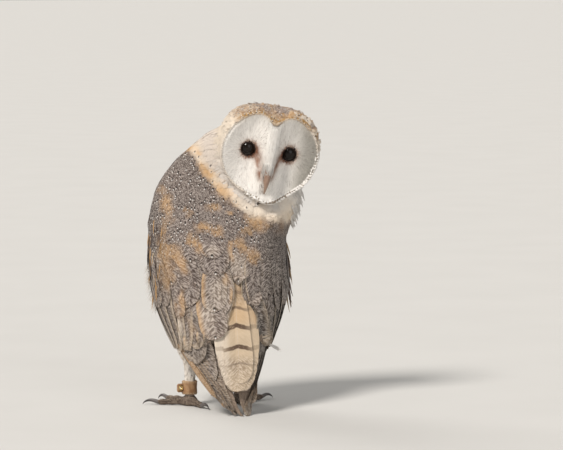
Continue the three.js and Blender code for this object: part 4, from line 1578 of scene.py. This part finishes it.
GOLD_TRIM = GOLD * 1.1
for side, sign in SIDES.items():
    primary = solids([f"wing_{side}_primaries"])
    wing = solids([f"wing_{side}_secondaries", f"wing_{side}_coverts"])
    i = np.arange(9)
    t = i / 8
    tips = between([(0, 50), (2, 33), (4, 18), (6, 5), (7, 1.0), (8, 9)], i)
    sets = [quills(primary, PRIMARY_EDGES, sign, mix(0.12, 0.90, t), 117, tips, 7.5, 0.5, 0.7,
                   flight_colours, tilt=0.10 * sign, edging=mix(0.05, 0.15, t), even=0.2,
                   trim=(sign, np.where(i == 8, 0.95, 0.35 * t), GOLD_TRIM))]
    j = np.arange(10)
    s = j / 9
    # gold outer edges on the left, and one cream inner edge beside the tail on the right
    trim, trim_from = (-1, 0.35 + 0.3 * rng.random(10), GOLD_TRIM), 0.62
    if side == "right":
        trim, trim_from = (-1, np.where(j == 0, 0.9, 0.05), CREAM * 0.95), 0.8
    sets.append(quills(wing, COVERT_EDGES, sign, mix(0.06, 0.92, s), 168,
                       64 + 5 * rng.random(10), 9.5, 1.8, mix(0.3, 1.2, s), flight_colours,
                       even=0.2, tilt=0.10 * sign, edging=mix(0.2, 0.45, s), trim=trim,
                       trim_from=trim_from))
    joined(f"coat_flight_{side}", sets, unwrap_round, WINGED, "flight_feathers")
    w = mix(0.08, 0.97, np.arange(9) / 8)
    sets = [quills(wing, COVERT_EDGES, sign, w, 166, mix(102, 114, w) + rng.uniform(-7, 7, 9), 9.5,
                   1.4, 1.3, back_side, form=COVERT, tilt=0.08 * sign, edging=0.05, own=0.1,
                   even=0.2, drops=some(0.3, w))]
    w = mix(0.12, 0.97, (np.arange(9) + 0.5) / 9)
    sets.append(quills(wing, COVERT_EDGES, sign, w, 172, mix(126, 136, w) + rng.uniform(-6, 6, 9),
                       8.5, 1.4, 1.2, back_side, form=COVERT, tilt=0.07 * sign, edging=0.03,
                       own=0.1, even=0.2, drops=some(0.5, w)))
    joined(f"coat_coverts_{side}", sets, unwrap_round, FEATHERED, "wing_feathers")


# ---------- the large feathers of the back, placed as they are seen from the camera ----------

back = solids(["trunk", *COVERT_NODES, *SECONDARY_NODES, *PRIMARY_NODES])
SEEN_RIGHT = turn_about(2, VIEW_AZIMUTH) @ np.array([1.0, 0, 0])
SEEN_NEAR = np.array([SEEN_RIGHT[1], -SEEN_RIGHT[0], 0])

# where each starts and ends (millimetres right of the axis as seen, and height), half width, lift
LEFT_WING = [
    (-22, 96, -7.5, 31.5, 12, 1.3), (-7, 98, 3, 40, 9.5, 1.5), (-31, 136, -22, 52.5, 15, 2.3),
    (-52, 166, -46, 108, 8.5, 1.2), (-46, 156, -37.5, 98, 8.5, 1.5), (-30, 156, -27, 112, 11, 2.0),
    (-13.5, 150, -1, 77.5, 14, 2.7), (-3, 160, -3, 106, 13, 3.0),
]
RIGHT_WING = [
    (55, 147, 54, 80, 8.5, 1.2), (62, 147, 60.5, 87, 7, 1.4), (47, 142, 43.5, 58, 8, 1.6),
    (43, 157, 43, 103, 9, 1.8), (60, 166, 61, 118, 8, 1.8), (32.5, 161, 37, 113, 8.5, 3.6),
    (50.5, 171, 51, 121, 8.5, 2.6),
]
SCAPULARS = [
    (-25, 166, -20.5, 129.5, 11, 0.9), (34, 167, 35, 130, 10, 0.9),
    (14, 181, 23.5, 133.5, 12.5, 1.2), (-42, 168, -39, 140, 9, 0.8),
    (-29, 182, -27, 155, 8.5, 1.2), (-4.5, 175, -1.5, 142, 15, 1.7),
    (43.5, 181, 44.5, 155.5, 7.5, 1.4), (-5.5, 188, -5.5, 159, 14, 1.7),
]


def seen(rows, colours, steps=14, form=COVERT, depth=1.6, strip=(0.03, 0.06), **more):
    """Feathers that run over the back from place to place, as the camera sees them."""
    u0, z0, u1, z1, half, lift = np.array(rows, float).T[..., None]
    t = np.linspace(0, 1, steps + 1)[None]
    u, z = mix(u0, u1, t).ravel(), mix(z0, z1, t).ravel()
    starts = u[:, None] * SEEN_RIGHT + 300 * SEEN_NEAR + z[:, None] * np.array([0, 0, 1.0])
    found = back.met(map(Vector, starts), [Vector(-SEEN_NEAR)] * len(starts), 250)
    return Feathers(form, *shafts_on(found, len(rows), steps, 4), half[:, 0], depth, lift[:, 0],
                    colours, patch=strip, own=0.1, even=0.1, **more)


def gold_edge(points):
    return shaded(GOLD * 1.05, 0.8, 1.1, clouds(points, 4, 54)), marks_of(points, 0.8)


joined("coat_tertials_left",
       [seen(LEFT_WING[:3], flight_colours, edging=0.08, trim=(-1, 0.7, PALE_CREAM)),
        seen(LEFT_WING[3:6], back_side, edging=0.05, drops=[0, 0, 0]),
        seen([(-40, 72, 12, 4, 3.4, 3.6)], gold_edge, form=FLIGHT, depth=-1.0),
        seen(LEFT_WING[6:], back_side, edging=0.08, trim=(-1, 0.8, GOLD_TRIM))],
       unwrap_round, FEATHERED, "wing_feathers")
joined("coat_tertials_right",
       [seen(RIGHT_WING[:3], flight_colours, edging=0.04, trim=(-1, [0.2, 0.2, 1], CREAM * 0.95),
             trim_from=0.8),
        seen(RIGHT_WING[3:], back_side, edging=0.04, trim=(-1, [0.1, 0.1, 0.8, 0.1], CREAM * 0.9),
             trim_from=0.8, drops=[0, 1, 0, 1])],
       unwrap_round, FEATHERED, "wing_feathers")
joined("coat_scapulars", [seen(SCAPULARS, back_side, edging=0.05)], unwrap_round, FEATHERED,
       "body_feathers")

RECTRIX = Form(22, 10, [(0, 0.3), (0.1, 0.6), (0.4, 0.85), (0.85, 1), (1, 0.9)],
               teeth=0.006, ragged=0.012, camber=0.07, rise=0.6)
TAIL_BACK = [(25, 75.5), (48, 71.8), (66, 68.6), (88, 64.6), (115, 59.6), (146, 52)]


def tail_colours(points):
    """Cream, warmer and darker toward the root, whiter at one side, and speckled at the tip."""
    x, z = points[:, 0], points[:, 2]
    tint = tinted(np.array([0.555, 0.435, 0.305]), GOLD * 1.15, 0.5 * smooth(z, 84, 100))
    tint = shaded(tint, 1, 0.86, smooth(z, 104, 125))
    tint = tinted(tint, WHITE * 0.9, 0.5 * smooth(x, 9, 17))
    tint = shaded(tint, 0.9, 1.08, clouds(points, 7, 45))
    speckled = 0.75 * smooth(64 - z, 0, 9) + 0.1 + 0.4 * smooth(z, 104, 118)
    return tint, marks_of(points, speckled, 0, 1 - 0.6 * smooth(np.abs(x - 2), 12, 18))


def tail_feathers():
    """Twelve feathers in a folded stack: the middle one lies on top, and the others narrow it."""
    order = np.array([5, 4, 3, 2, 1, 0, 0, 1, 2, 3, 4, 5])
    sign = np.array([-1] * 6 + [1] * 6)
    steps = 14
    t = np.linspace(0, 1, steps + 1)[None]
    tips = np.array([34.0, 26, 29, 36, 45, 56])[order] + 1.2 * (sign < 0)
    aside = sign * np.array([0.4, 3.2, 6.0, 8.8, 11.4, 13.6])[order]
    z = mix(143.0, tips[:, None], t)
    x = 2 + mix(0.55, 1.0, smooth(t, 0, 0.5)) * aside[:, None]
    layer = (5 - order)[:, None] * 0.5 + 0.9 + 0.25 * (sign > 0)[:, None]
    path = np.stack([x + 0 * z, between(TAIL_BACK, z) + layer, z], -1)
    ups = np.zeros_like(path)
    ups[..., 0] = sign[:, None] * 0.05
    ups[..., 1] = 1.0
    ups[..., 2] = 0.12
    half = np.array([15.5, 12.5, 12, 11.5, 11, 10.5])[order]
    return Feathers(RECTRIX, path, unit(ups), 143 - tips, half, 0.0, 0.2, tail_colours,
                    edging=0.25, patch=(0.05, 0.9), own=0.1, even=0.1)


joined("coat_tail", [tail_feathers()], unwrap_round, TAILED, "tail_feathers")


# ---------- loose feathers that stand off the outline ----------


def scattered_strands(count, low, high, way, half, colours, stray=0.25, **more):
    """Strands whose roots lie on the outline inside a box, and that point roughly one way."""
    starts = rng.uniform(low, high, (count, 3))
    starts, normals = outline.nearest(starts)
    length = np.linalg.norm(way)
    ends = starts + way * rng.uniform(0.6, 1.3, (count, 1)) + normals * 1.2
    ends = ends + stray * length * rng.uniform(-1, 1, (count, 3))
    return strands(starts - normals * 0.5, ends, half, colours, **more)


loose = []
for count, tint, width in ((26, GOLD * 0.8, 0.45), (26, DARK, 0.45), (7, CREAM * 0.8, 0.3)):
    # streaks along the front of the left wing
    loose.append(scattered_strands(count, (62, -6, 122), (78, 30, 205), np.array([0.3, 2.5, -15]),
                                   width, plain(tint), stray=0.05))
loose += [
    # streamers of the coverts at the right side
    scattered_strands(13, (-78, 0, 124), (-66, 28, 172), np.array([-2.0, 2.5, -22]), 0.7,
                      plain(np.array([0.31, 0.215, 0.115])), stray=0.09),
    scattered_strands(8, (-78, 4, 124), (-68, 24, 168), np.array([-1.5, 2.5, -20]), 0.8,
                      plain(DARK * 1.4), stray=0.07),
    # white down under the front edge of the left wing, and beside the tips of the right one
    scattered_strands(110, (66, -20, 100), (74, 0, 150), np.array([2.4, -1, -7.5]), 0.28,
                      plain(WHITE * 0.8), stray=0.35),
    scattered_strands(9, (-32, 40, 46), (-24, 50, 52), np.array([-12.0, 3, -6]), 0.6,
                      plain(WHITE), stray=0.12),
    # the ragged throat at the right side
    scattered_strands(150, (-86, -20, 190), (-66, 20, 226), np.array([-1.5, 1, -8]), 0.8,
                      plain(WHITE * 0.85), stray=0.15),
]
joined("coat_loose", loose, unwrap_round, FEATHERED, "body_feathers")


# ---------- the skin ----------

# how deep the skin lies under the outline: the depth of the coat there
DEPTHS = {"head": 3.2, "face_disc": 1.2, "neck": 5, "trunk": 4.5, "wing_left_coverts": 3.6,
          "wing_right_coverts": 3.6, "leg_left": 2.4, "leg_right": 2.4, "shank_left": 1.0,
          "shank_right": 1.0}
UNDER_TINT, SCALY_TINT = (0.30, 0.235, 0.18), (0.24, 0.18, 0.14)
MARKINGS = {"crown": crown_side, "neck": back_side, "upper": back_side, "under": under_side,
            "leg": leg_side, "face": face_side}


def coat_at(points):
    """The markings of the coat over each place, for the skin under it."""
    region = regions_at(points)
    tint = np.tile(UNDER_TINT, (len(points), 1))
    for name, colours in MARKINGS.items():
        chosen = region == name
        if chosen.any():
            tint[chosen] = colours(points[chosen])[0]
    return tint


LID_TINT = np.array([0.045, 0.028, 0.024])
EYE_RADIUS, LID_RADIUS, LID_THICK = 8.6, 7.1, 0.55
THICKEST = 12.0  # how far the thickness of the body is looked for


def lid_round(side, sign):
    """The two lids as one soft rim on the eyeball, drawn out to a corner toward the bill."""
    turn = np.linspace(0, 2 * np.pi, 56, endpoint=False)
    corner = (np.degrees(turn) - (180 if sign > 0 else 0) - sign * 28 + 180) % 360 - 180
    radius = LID_RADIUS + 1.1 * bump(corner, 22) - 0.25 * np.abs(np.sin(turn))
    s = np.linspace(0, 2 * np.pi, 12, endpoint=False)
    thick = LID_THICK * (1 + 0.15 * np.sin(9 * turn + 1) * np.sin(turn))
    eye = to_head(EYES[side][None])[0]
    out = radius[:, None] + thick[:, None] * np.cos(s)
    ahead = np.sqrt(EYE_RADIUS**2 - np.minimum(radius, EYE_RADIUS - 0.3) ** 2)[:, None]
    ahead = ahead + 1.1 * thick[:, None] * np.sin(s)
    rings = np.stack([eye[0] + out * np.cos(turn)[:, None], eye[1] - ahead,
                      eye[2] + out * np.sin(turn)[:, None]], -1)
    places, faces = closed_rings(rings)
    places = from_head(places)
    return places, outward(places - places.mean(0), faces)


def thickness(places, normals, triangles):
    """How thick the body is under each place, up to THICKEST."""
    tree = tree_of(places, triangles)
    starts = (places - 0.05 * normals).tolist()
    found = [tree.ray_cast(p, -n, THICKEST)[3] for p, n in zip(starts, map(Vector, normals))]
    return np.array([THICKEST if far is None else far for far in found])


def evened(values, triangles, rounds):
    """Numbers at the vertices, each drawn toward the mean of its neighbours."""
    for _ in range(rounds):
        total, number = np.zeros(len(values)), np.zeros(len(values))
        for a, b in ((0, 1), (1, 2), (2, 0)):
            np.add.at(total, triangles[:, a], values[triangles[:, b]])
            np.add.at(number, triangles[:, a], 1)
        values = 0.5 * values + 0.5 * total / np.maximum(number, 1)
    return values


def make_skin():
    """One closed skin in place of the flesh, with the lids on it and scaly toes."""
    places, triangles = remeshed(FLESH, 1.5, 8)
    normals = vertex_normals(places, triangles)
    named = node_finder(FLESH)(places)
    depth = np.full(len(places), 0.15)
    for name, value in DEPTHS.items():
        depth[named == name] = value
    depth = np.minimum(depth, 0.40 * thickness(places, normals, triangles))
    depth = evened(depth, triangles, 6)
    foot = np.char.startswith(named, "toe") | np.char.startswith(named, "foot")
    tint = coat_at(places)
    tint[foot] = SCALY_TINT
    places = places - normals * depth[:, None]
    for side, sign in SIDES.items():
        lid_places, lid_faces = lid_round(side, sign)
        triangles = np.concatenate([triangles, lid_faces + len(places)])
        places = np.concatenate([places, lid_places])
        tint = np.concatenate([tint, np.tile(LID_TINT, (len(lid_places), 1))])
        foot = np.concatenate([foot, np.zeros(len(lid_places), bool)])
    piece = mesh_object("skin", places, triangles)
    set_tint(piece.data, tint)
    finish_piece(piece, SKINNED, "body_feathers", *FLESH)
    piece.data.materials.append(TOED)
    piece.data.polygons.foreach_set("material_index", foot[triangles].all(1).astype(np.int32))


make_skin()


def make_core(name, nodes, slot, inward, tint):
    """A smooth body under the large feathers, which stands for their solids."""
    places, triangles = remeshed(nodes, 1.2, 4)
    normals = vertex_normals(places, triangles)
    inward = inward + 1.7 * smooth(places[:, 2], 96, 112)
    inward = np.minimum(inward, 0.35 * thickness(places, normals, triangles))
    piece = mesh_object(name, places - normals * inward[:, None], triangles)
    set_tint(piece.data, tint)
    finish_piece(piece, SKINNED, slot, *nodes)


for side in SIDES:
    make_core(f"wing_{side}_core", [f"wing_{side}_secondaries", f"wing_{side}_primaries"],
              "flight_feathers", 0.6, (0.30, 0.24, 0.19))
make_core("tail_core", ["tail"], "tail_feathers", 0.8, (0.62, 0.54, 0.44))


# ---------- eyes, bill, claws, anklets ----------

BEAK = horn("beak", (0.28, 0.18, 0.13), (0.34, 0.24, 0.175), 0.95, 0.3)
CLAW = horn("claw_horn", (0.13, 0.115, 0.11), (0.035, 0.03, 0.03), 0.75, 0.15, rough=0.3)


def horn_piece(name, rings, material, slot, node):
    """A bill or claw from rings, with a number on each vertex that grows from root to tip."""
    places, faces = tube_mesh(rings)
    piece = mesh_object(name, places, faces)
    along = np.repeat(np.linspace(0, 1, rings.shape[0]), rings.shape[1])
    set_numbers(piece.data, "along", np.concatenate([along, [0, 1]]))
    finish_piece(piece, material, slot, node)


# the left nostril in the head's frame: its place, its reach and how deep it is pressed in
NOSTRIL, NOSTRIL_REACH = np.array([3.2, -19.2, -19.5]), np.array([1.2, 1.5, 1.9])
NOSTRIL_DEPTH = np.array([1.1, -0.5, 0])


def make_bill():
    """A hooked upper half with a keel and nostrils, and a lower half that shuts inside it."""
    upper = [(0, -10.5, -9, 4.0, 3.4), (0, -15.5, -15, 3.9, 3.8), (0, -17.8, -21, 3.5, 3.6),
             (0, -18.6, -27, 2.8, 3.1), (0, -18.0, -33, 1.9, 2.2), (0, -16.8, -37.5, 1.1, 1.4),
             (0, -16.2, -40.5, 0.3, 0.4)]
    rings = swept(upper, (-1, 0, 0), 40, 24, power=2.2, keel=0.35)
    flat = rings.reshape(-1, 3)
    for mirror in ((-1, 1, 1), (1, 1, 1)):
        away = np.linalg.norm((flat - NOSTRIL * mirror) / NOSTRIL_REACH, axis=1)
        flat = flat - NOSTRIL_DEPTH * mirror * bump(away, 0.9)[:, None]
    rings = from_head(flat).reshape(rings.shape)
    horn_piece("bill_upper_horn", rings, BEAK, "bill", "bill_upper")
    lower = [(0, -8, -20, 3.6, 1.8), (0, -11, -25.5, 3.0, 1.8), (0, -12.8, -30, 2.0, 1.4),
             (0, -13.4, -33, 0.8, 0.6)]
    rings = from_head(swept(lower, (-1, 0, 0), 20, 18).reshape(-1, 3)).reshape(20, 18, 3)
    horn_piece("bill_lower_horn", rings, BEAK, "bill", "bill_lower")


make_bill()


def round_eye(side):
    """A smooth eyeball with a slight bulge of the cornea, in place of the faceted one."""
    centre = EYES[side]
    low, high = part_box(f"eye_{side}")
    radius = float(np.max(high - low)) / 2 / MM * 0.985
    toward = unit(np.array([0.0, -1.0, 0.0]) @ HEAD_TURN.T)
    side_way = unit(np.cross(toward, [0, 0, 1.0]))
    up = np.cross(side_way, toward)
    polar = np.linspace(0.02, np.pi - 0.02, 40)
    angle = np.linspace(0, 2 * np.pi, 48, endpoint=False)
    grown = radius * (1 + 0.015 * bump(polar / 0.55, 1.0))
    rings = (centre + (grown * np.cos(polar))[:, None, None] * toward
             + (grown * np.sin(polar))[:, None, None]
             * (np.cos(angle)[None, :, None] * side_way + np.sin(angle)[None, :, None] * up))
    places, faces = tube_mesh(rings)
    finish_piece(mesh_object(f"eyeball_{side}", places, faces), EYED, "eye", f"eye_{side}")


EYED = eye_surface()
for side in SIDES:
    round_eye(side)

LEG_ACROSS, LEG_AHEAD, FOOT_TURN, FOOT_RADIUS = 27, 15, 14, 9.5
# each toe: its heading, length and half thickness
TOES = [("middle", 4, 31, 3.9), ("inner", -30, 27, 3.9), ("outer", 50, 24, 3.7),
        ("rear", 178, 16, 3.7)]
BAND_LOW, BAND_HIGH, BAND_RADIUS, BAND_THICK = 12, 26, 7.1, 0.7
BAND_MIDDLE = (BAND_LOW + BAND_HIGH) / 2
TAB_LENGTH, TAB_THICK, TAB_HEIGHT = 8.0, 1.1, 4.5
EYELET_OUT = 11.2
SCUTE_LENGTH = 2.1
STITCHES = 18


def on_foot(points, sign, heading=0.0):
    """From a frame that looks along a toe, at the foot's middle, to the bird's frame."""
    turn = turn_about(2, sign * (FOOT_TURN + heading))
    return points @ turn.T + np.array([sign * LEG_ACROSS, -LEG_AHEAD, 0])


# along a claw: how far in its hook, then height, half width and half height in its thickness
CLAW_ROWS = [(0.15, 1.08, 0.45, 0.54), (0.42, 1.30, 0.36, 0.44), (0.68, 1.14, 0.25, 0.31),
             (0.88, 0.66, 0.13, 0.16)]


def make_claw(toe, heading, length, thick, side, sign):
    start = FOOT_RADIUS + length + 0.3
    hook = 4.3 * thick
    rows = [(0, -start + 1.6, 0.72 * thick, 0.50 * thick, 0.56 * thick),
            *((0, -start - share * hook, high * thick, across * thick, up * thick)
              for share, high, across, up in CLAW_ROWS),
            (0, -start - hook + 0.4, 0.35, 0.12, 0.15)]
    rings = swept(rows, (-1, 0, 0), 26, 14, power=2.1, keel=-0.25)
    above_floor = np.maximum(on_foot(rings.reshape(-1, 3), sign, heading), (-999, -999, 0.05))
    horn_piece(f"talon_{toe}_{side}", above_floor.reshape(rings.shape), CLAW, "claw",
               f"claw_{toe}_{side}")


def scutes_of(heading, length, thick, sign):
    """Plates across the top of a toe, each lapping over the next."""
    start, reach = FOOT_RADIUS - 1.0, FOOT_RADIUS + length - 0.5
    ridge = smooth_curve([(-start, thick - 0.2), (-mix(start, reach, 0.4), thick - 0.3),
                          (-mix(start, reach, 0.7), 0.85 * thick - 0.4),
                          (-reach, 0.75 * thick - 0.5)], 60)
    count = int((reach - start) / SCUTE_LENGTH)
    angle = np.radians(np.linspace(-62, 62, 9))
    scutes = []
    for k in range(count):
        t = (k + 0.5) / count
        size = mix(thick, 0.74 * thick, t) + 0.35 * math.cos(5 * math.pi * t)
        rings = []
        for step, lift in ((-0.95, 0.05), (-0.3, 0.42), (0.6, 0.45), (1.05, 0.12)):
            place = np.clip(t + step / (reach - start), 0, 1) * (len(ridge) - 1)
            y, z = (np.interp(place, np.arange(len(ridge)), ridge[:, c]) for c in (0, 1))
            out = size + lift - 0.25 * (np.abs(angle) / angle.max()) ** 4
            top = np.stack([out * np.sin(angle), np.full(9, y), z + out * np.cos(angle)], -1)
            low = top * [0.86, 1, 1] - [0, 0, 0.9]
            rings.append(np.concatenate([top, low[::-1]]))
        places, faces = tube_mesh(rings)
        scutes.append((on_foot(places, sign, heading), faces))
    return scutes


def rounded_band(radius, thick, low, high, sign, sides=72):
    """A strap closed round the shank, with soft edges, a few creases and overlapping ends."""
    turn = np.linspace(0, 2 * np.pi, sides, endpoint=False)
    rim = []
    for out, up in ((-1, 0.04), (-1, 0.5), (-1, 0.96), (-0.4, 1.0), (0.5, 1.0), (1, 0.94),
                    (1, 0.75), (1, 0.5), (1, 0.25), (1, 0.06), (0.5, 0.0), (-0.4, 0.0)):
        crease = 0.22 * np.sin(5 * turn + 9 * up) * bump(up - 0.5, 0.4) * (out > 0)
        lap = 0.35 * smooth(np.cos(turn - 0.5), 0.75, 0.95) * (out > 0)
        r = radius + out * thick + crease + lap
        z = mix(low, high, up) + 0.35 * np.sin(2 * turn + up)
        rim.append(np.stack([sign * r * np.cos(turn), r * np.sin(turn), z], -1))
    rings = np.stack(rim, 1)
    return rings if sign > 0 else rings[::-1]


LEATHER, BRASS = leather(), brass()
TAB_TURN = np.linspace(0, 2 * np.pi, 40, endpoint=False)


def ring_in_tab(x, radius, y):
    """A ring about the eyelet's axis, which runs along Y through the middle of the strap."""
    return np.stack([x + radius * np.cos(TAB_TURN), np.full(len(TAB_TURN), y),
                     BAND_MIDDLE + radius * np.sin(TAB_TURN)], -1)


def foot_piece(name, parts, sign, material, slot, *nodes):
    places, faces = merged(parts)
    piece = mesh_object(name, on_foot(places, sign), faces)
    return finish_piece(piece, material, slot, *nodes), places


def make_anklet(side, sign):
    """A leather strap with stitches and a tab, and a brass eyelet through the tab."""
    band = closed_rings(rounded_band(BAND_RADIUS, BAND_THICK, BAND_LOW, BAND_HIGH, sign))
    # the tab is a rounded plate with a hole: rings from the hole's edge out to the tab's edge
    reach = np.minimum(TAB_LENGTH / 2 / np.maximum(np.abs(np.cos(TAB_TURN)), 1e-6),
                       TAB_HEIGHT / np.maximum(np.abs(np.sin(TAB_TURN)), 1e-6))
    reach = np.minimum(reach, 5.2)
    edge = [ring_in_tab(EYELET_OUT - 0.4, mix(1.9, reach, share), deep * TAB_THICK)
            for share, deep in ((0.0, -0.9), (0.0, 0.9), (0.5, 1.0), (0.93, 1.0), (1.0, 0.5),
                                (1.0, -0.5), (0.93, -1.0), (0.5, -1.0))]
    plate = closed_rings(np.stack(edge, 1) * [sign, 1, 1])
    strap, places = foot_piece(f"strap_{side}", [band, plate], sign, LEATHER, "anklet_leather",
                               f"anklet_{side}")
    worn = smooth(np.abs(places[:, 2] - BAND_MIDDLE), 5.4, 7.0)
    set_numbers(strap.data, "edging", 0.8 * worn)
    x_axis, z_axis = np.array([1.0, 0, 0]), np.array([0, 0, 1.0])
    rims = [torus(np.array([sign * EYELET_OUT, face * 1.35, BAND_MIDDLE]), x_axis, z_axis, 2.05,
                  0.62, flat=0.7) for face in (-1, 1)]
    barrel = [ring_in_tab(sign * EYELET_OUT, r, y)
              for r, y in ((1.45, -1.4), (1.85, -1.4), (1.85, 1.4), (1.45, 1.4))]
    foot_piece(f"grommet_{side}", [*rims, closed_rings(np.stack(barrel, 1))], sign, BRASS,
               "eyelet_brass", f"eyelet_{side}")
    stitches = []
    for row in (BAND_LOW + 1.5, BAND_HIGH - 1.5):
        for a in 2 * np.pi * (np.arange(STITCHES) + 0.5) / STITCHES:
            out, around = np.array([np.cos(a), np.sin(a), 0]), np.array([-np.sin(a), np.cos(a), 0])
            centre = out * (BAND_RADIUS + BAND_THICK + 0.28) + [0, 0, row]
            rows = [(*(centre + around * s), w, w) for s, w in
                    ((-0.75, 0.08), (-0.5, 0.26), (0, 0.30), (0.5, 0.26), (0.75, 0.08))]
            stitches.append(tube_mesh(swept(rows, (0, 0, 1), 7, 6)))
    foot_piece(f"stitches_{side}", stitches, sign, thread_surface(), "anklet_leather")


scutes = []
for side, sign in SIDES.items():
    for toe, heading, length, thick in TOES:
        make_claw(toe, heading, length, thick, side, sign)
        scutes += scutes_of(heading, length, thick, sign)
    make_anklet(side, sign)
finish_piece(mesh_object("scutes", *merged(scutes)), TOED, "toe_skin")


# ---------- camera, lights and floor ----------


def aim(thing, target):
    way = Vector(target) - thing.location
    thing.rotation_euler = way.to_track_quat("-Z", "Y").to_euler()


def around_bird(azimuth, elevation, distance, middle):
    a, e = math.radians(azimuth), math.radians(elevation)
    out = np.array([math.sin(a) * math.cos(e), -math.cos(a) * math.cos(e), math.sin(e)])
    return to_metres(middle + out * distance)


def studio_light(name, azimuth, elevation, softness, strength, colour):
    """An even light from far away, softness degrees across, so that the floor is lit evenly."""
    data = bpy.data.lights.new(name, "SUN")
    data.angle, data.energy, data.color = math.radians(softness), strength, colour
    light = bpy.data.objects.new(name, data)
    bpy.context.scene.collection.objects.link(light)
    middle = np.array([0, 0, 170])
    light.location = around_bird(azimuth, elevation, 2000, middle)
    aim(light, to_metres(middle))


view_target = SEEN_RIGHT * VIEW_SIDE + np.array([0, 0, VIEW_HEIGHT])
camera_data = bpy.data.cameras.new("camera")
camera_data.sensor_width = SENSOR
camera_data.lens = SENSOR * VIEW_DISTANCE / (IMAGE_WIDTH * VIEW_SCALE)
camera = bpy.data.objects.new("camera", camera_data)
bpy.context.scene.collection.objects.link(camera)
camera.location = around_bird(VIEW_AZIMUTH, VIEW_ELEVATION, VIEW_DISTANCE, view_target)
aim(camera, to_metres(view_target))
bpy.context.scene.camera = camera

studio_light("key", 126, 45, 15, 3.15, (1.0, 0.955, 0.90))
studio_light("fill", 190, 20, 40, 0.55, (0.96, 0.98, 1.0))
studio_light("rim", 20, 40, 30, 0.75, (1.0, 0.98, 0.95))

world = bpy.data.worlds.new("world")
world.use_nodes = True
background = world.node_tree.nodes["Background"]
background.inputs["Color"].default_value = (0.83, 0.82, 0.80, 1)
background.inputs["Strength"].default_value = 0.36
bpy.context.scene.world = world
bpy.context.scene.view_settings.view_transform = "Standard"

corners = 40000.0 * np.array([(-1, -1, 0), (1, -1, 0), (1, 1, 0), (-1, 1, 0)])
floor = mesh_object("floor", corners, np.array([(0, 1, 2), (0, 2, 3)]))
floor.data.materials.append(floor_surface())
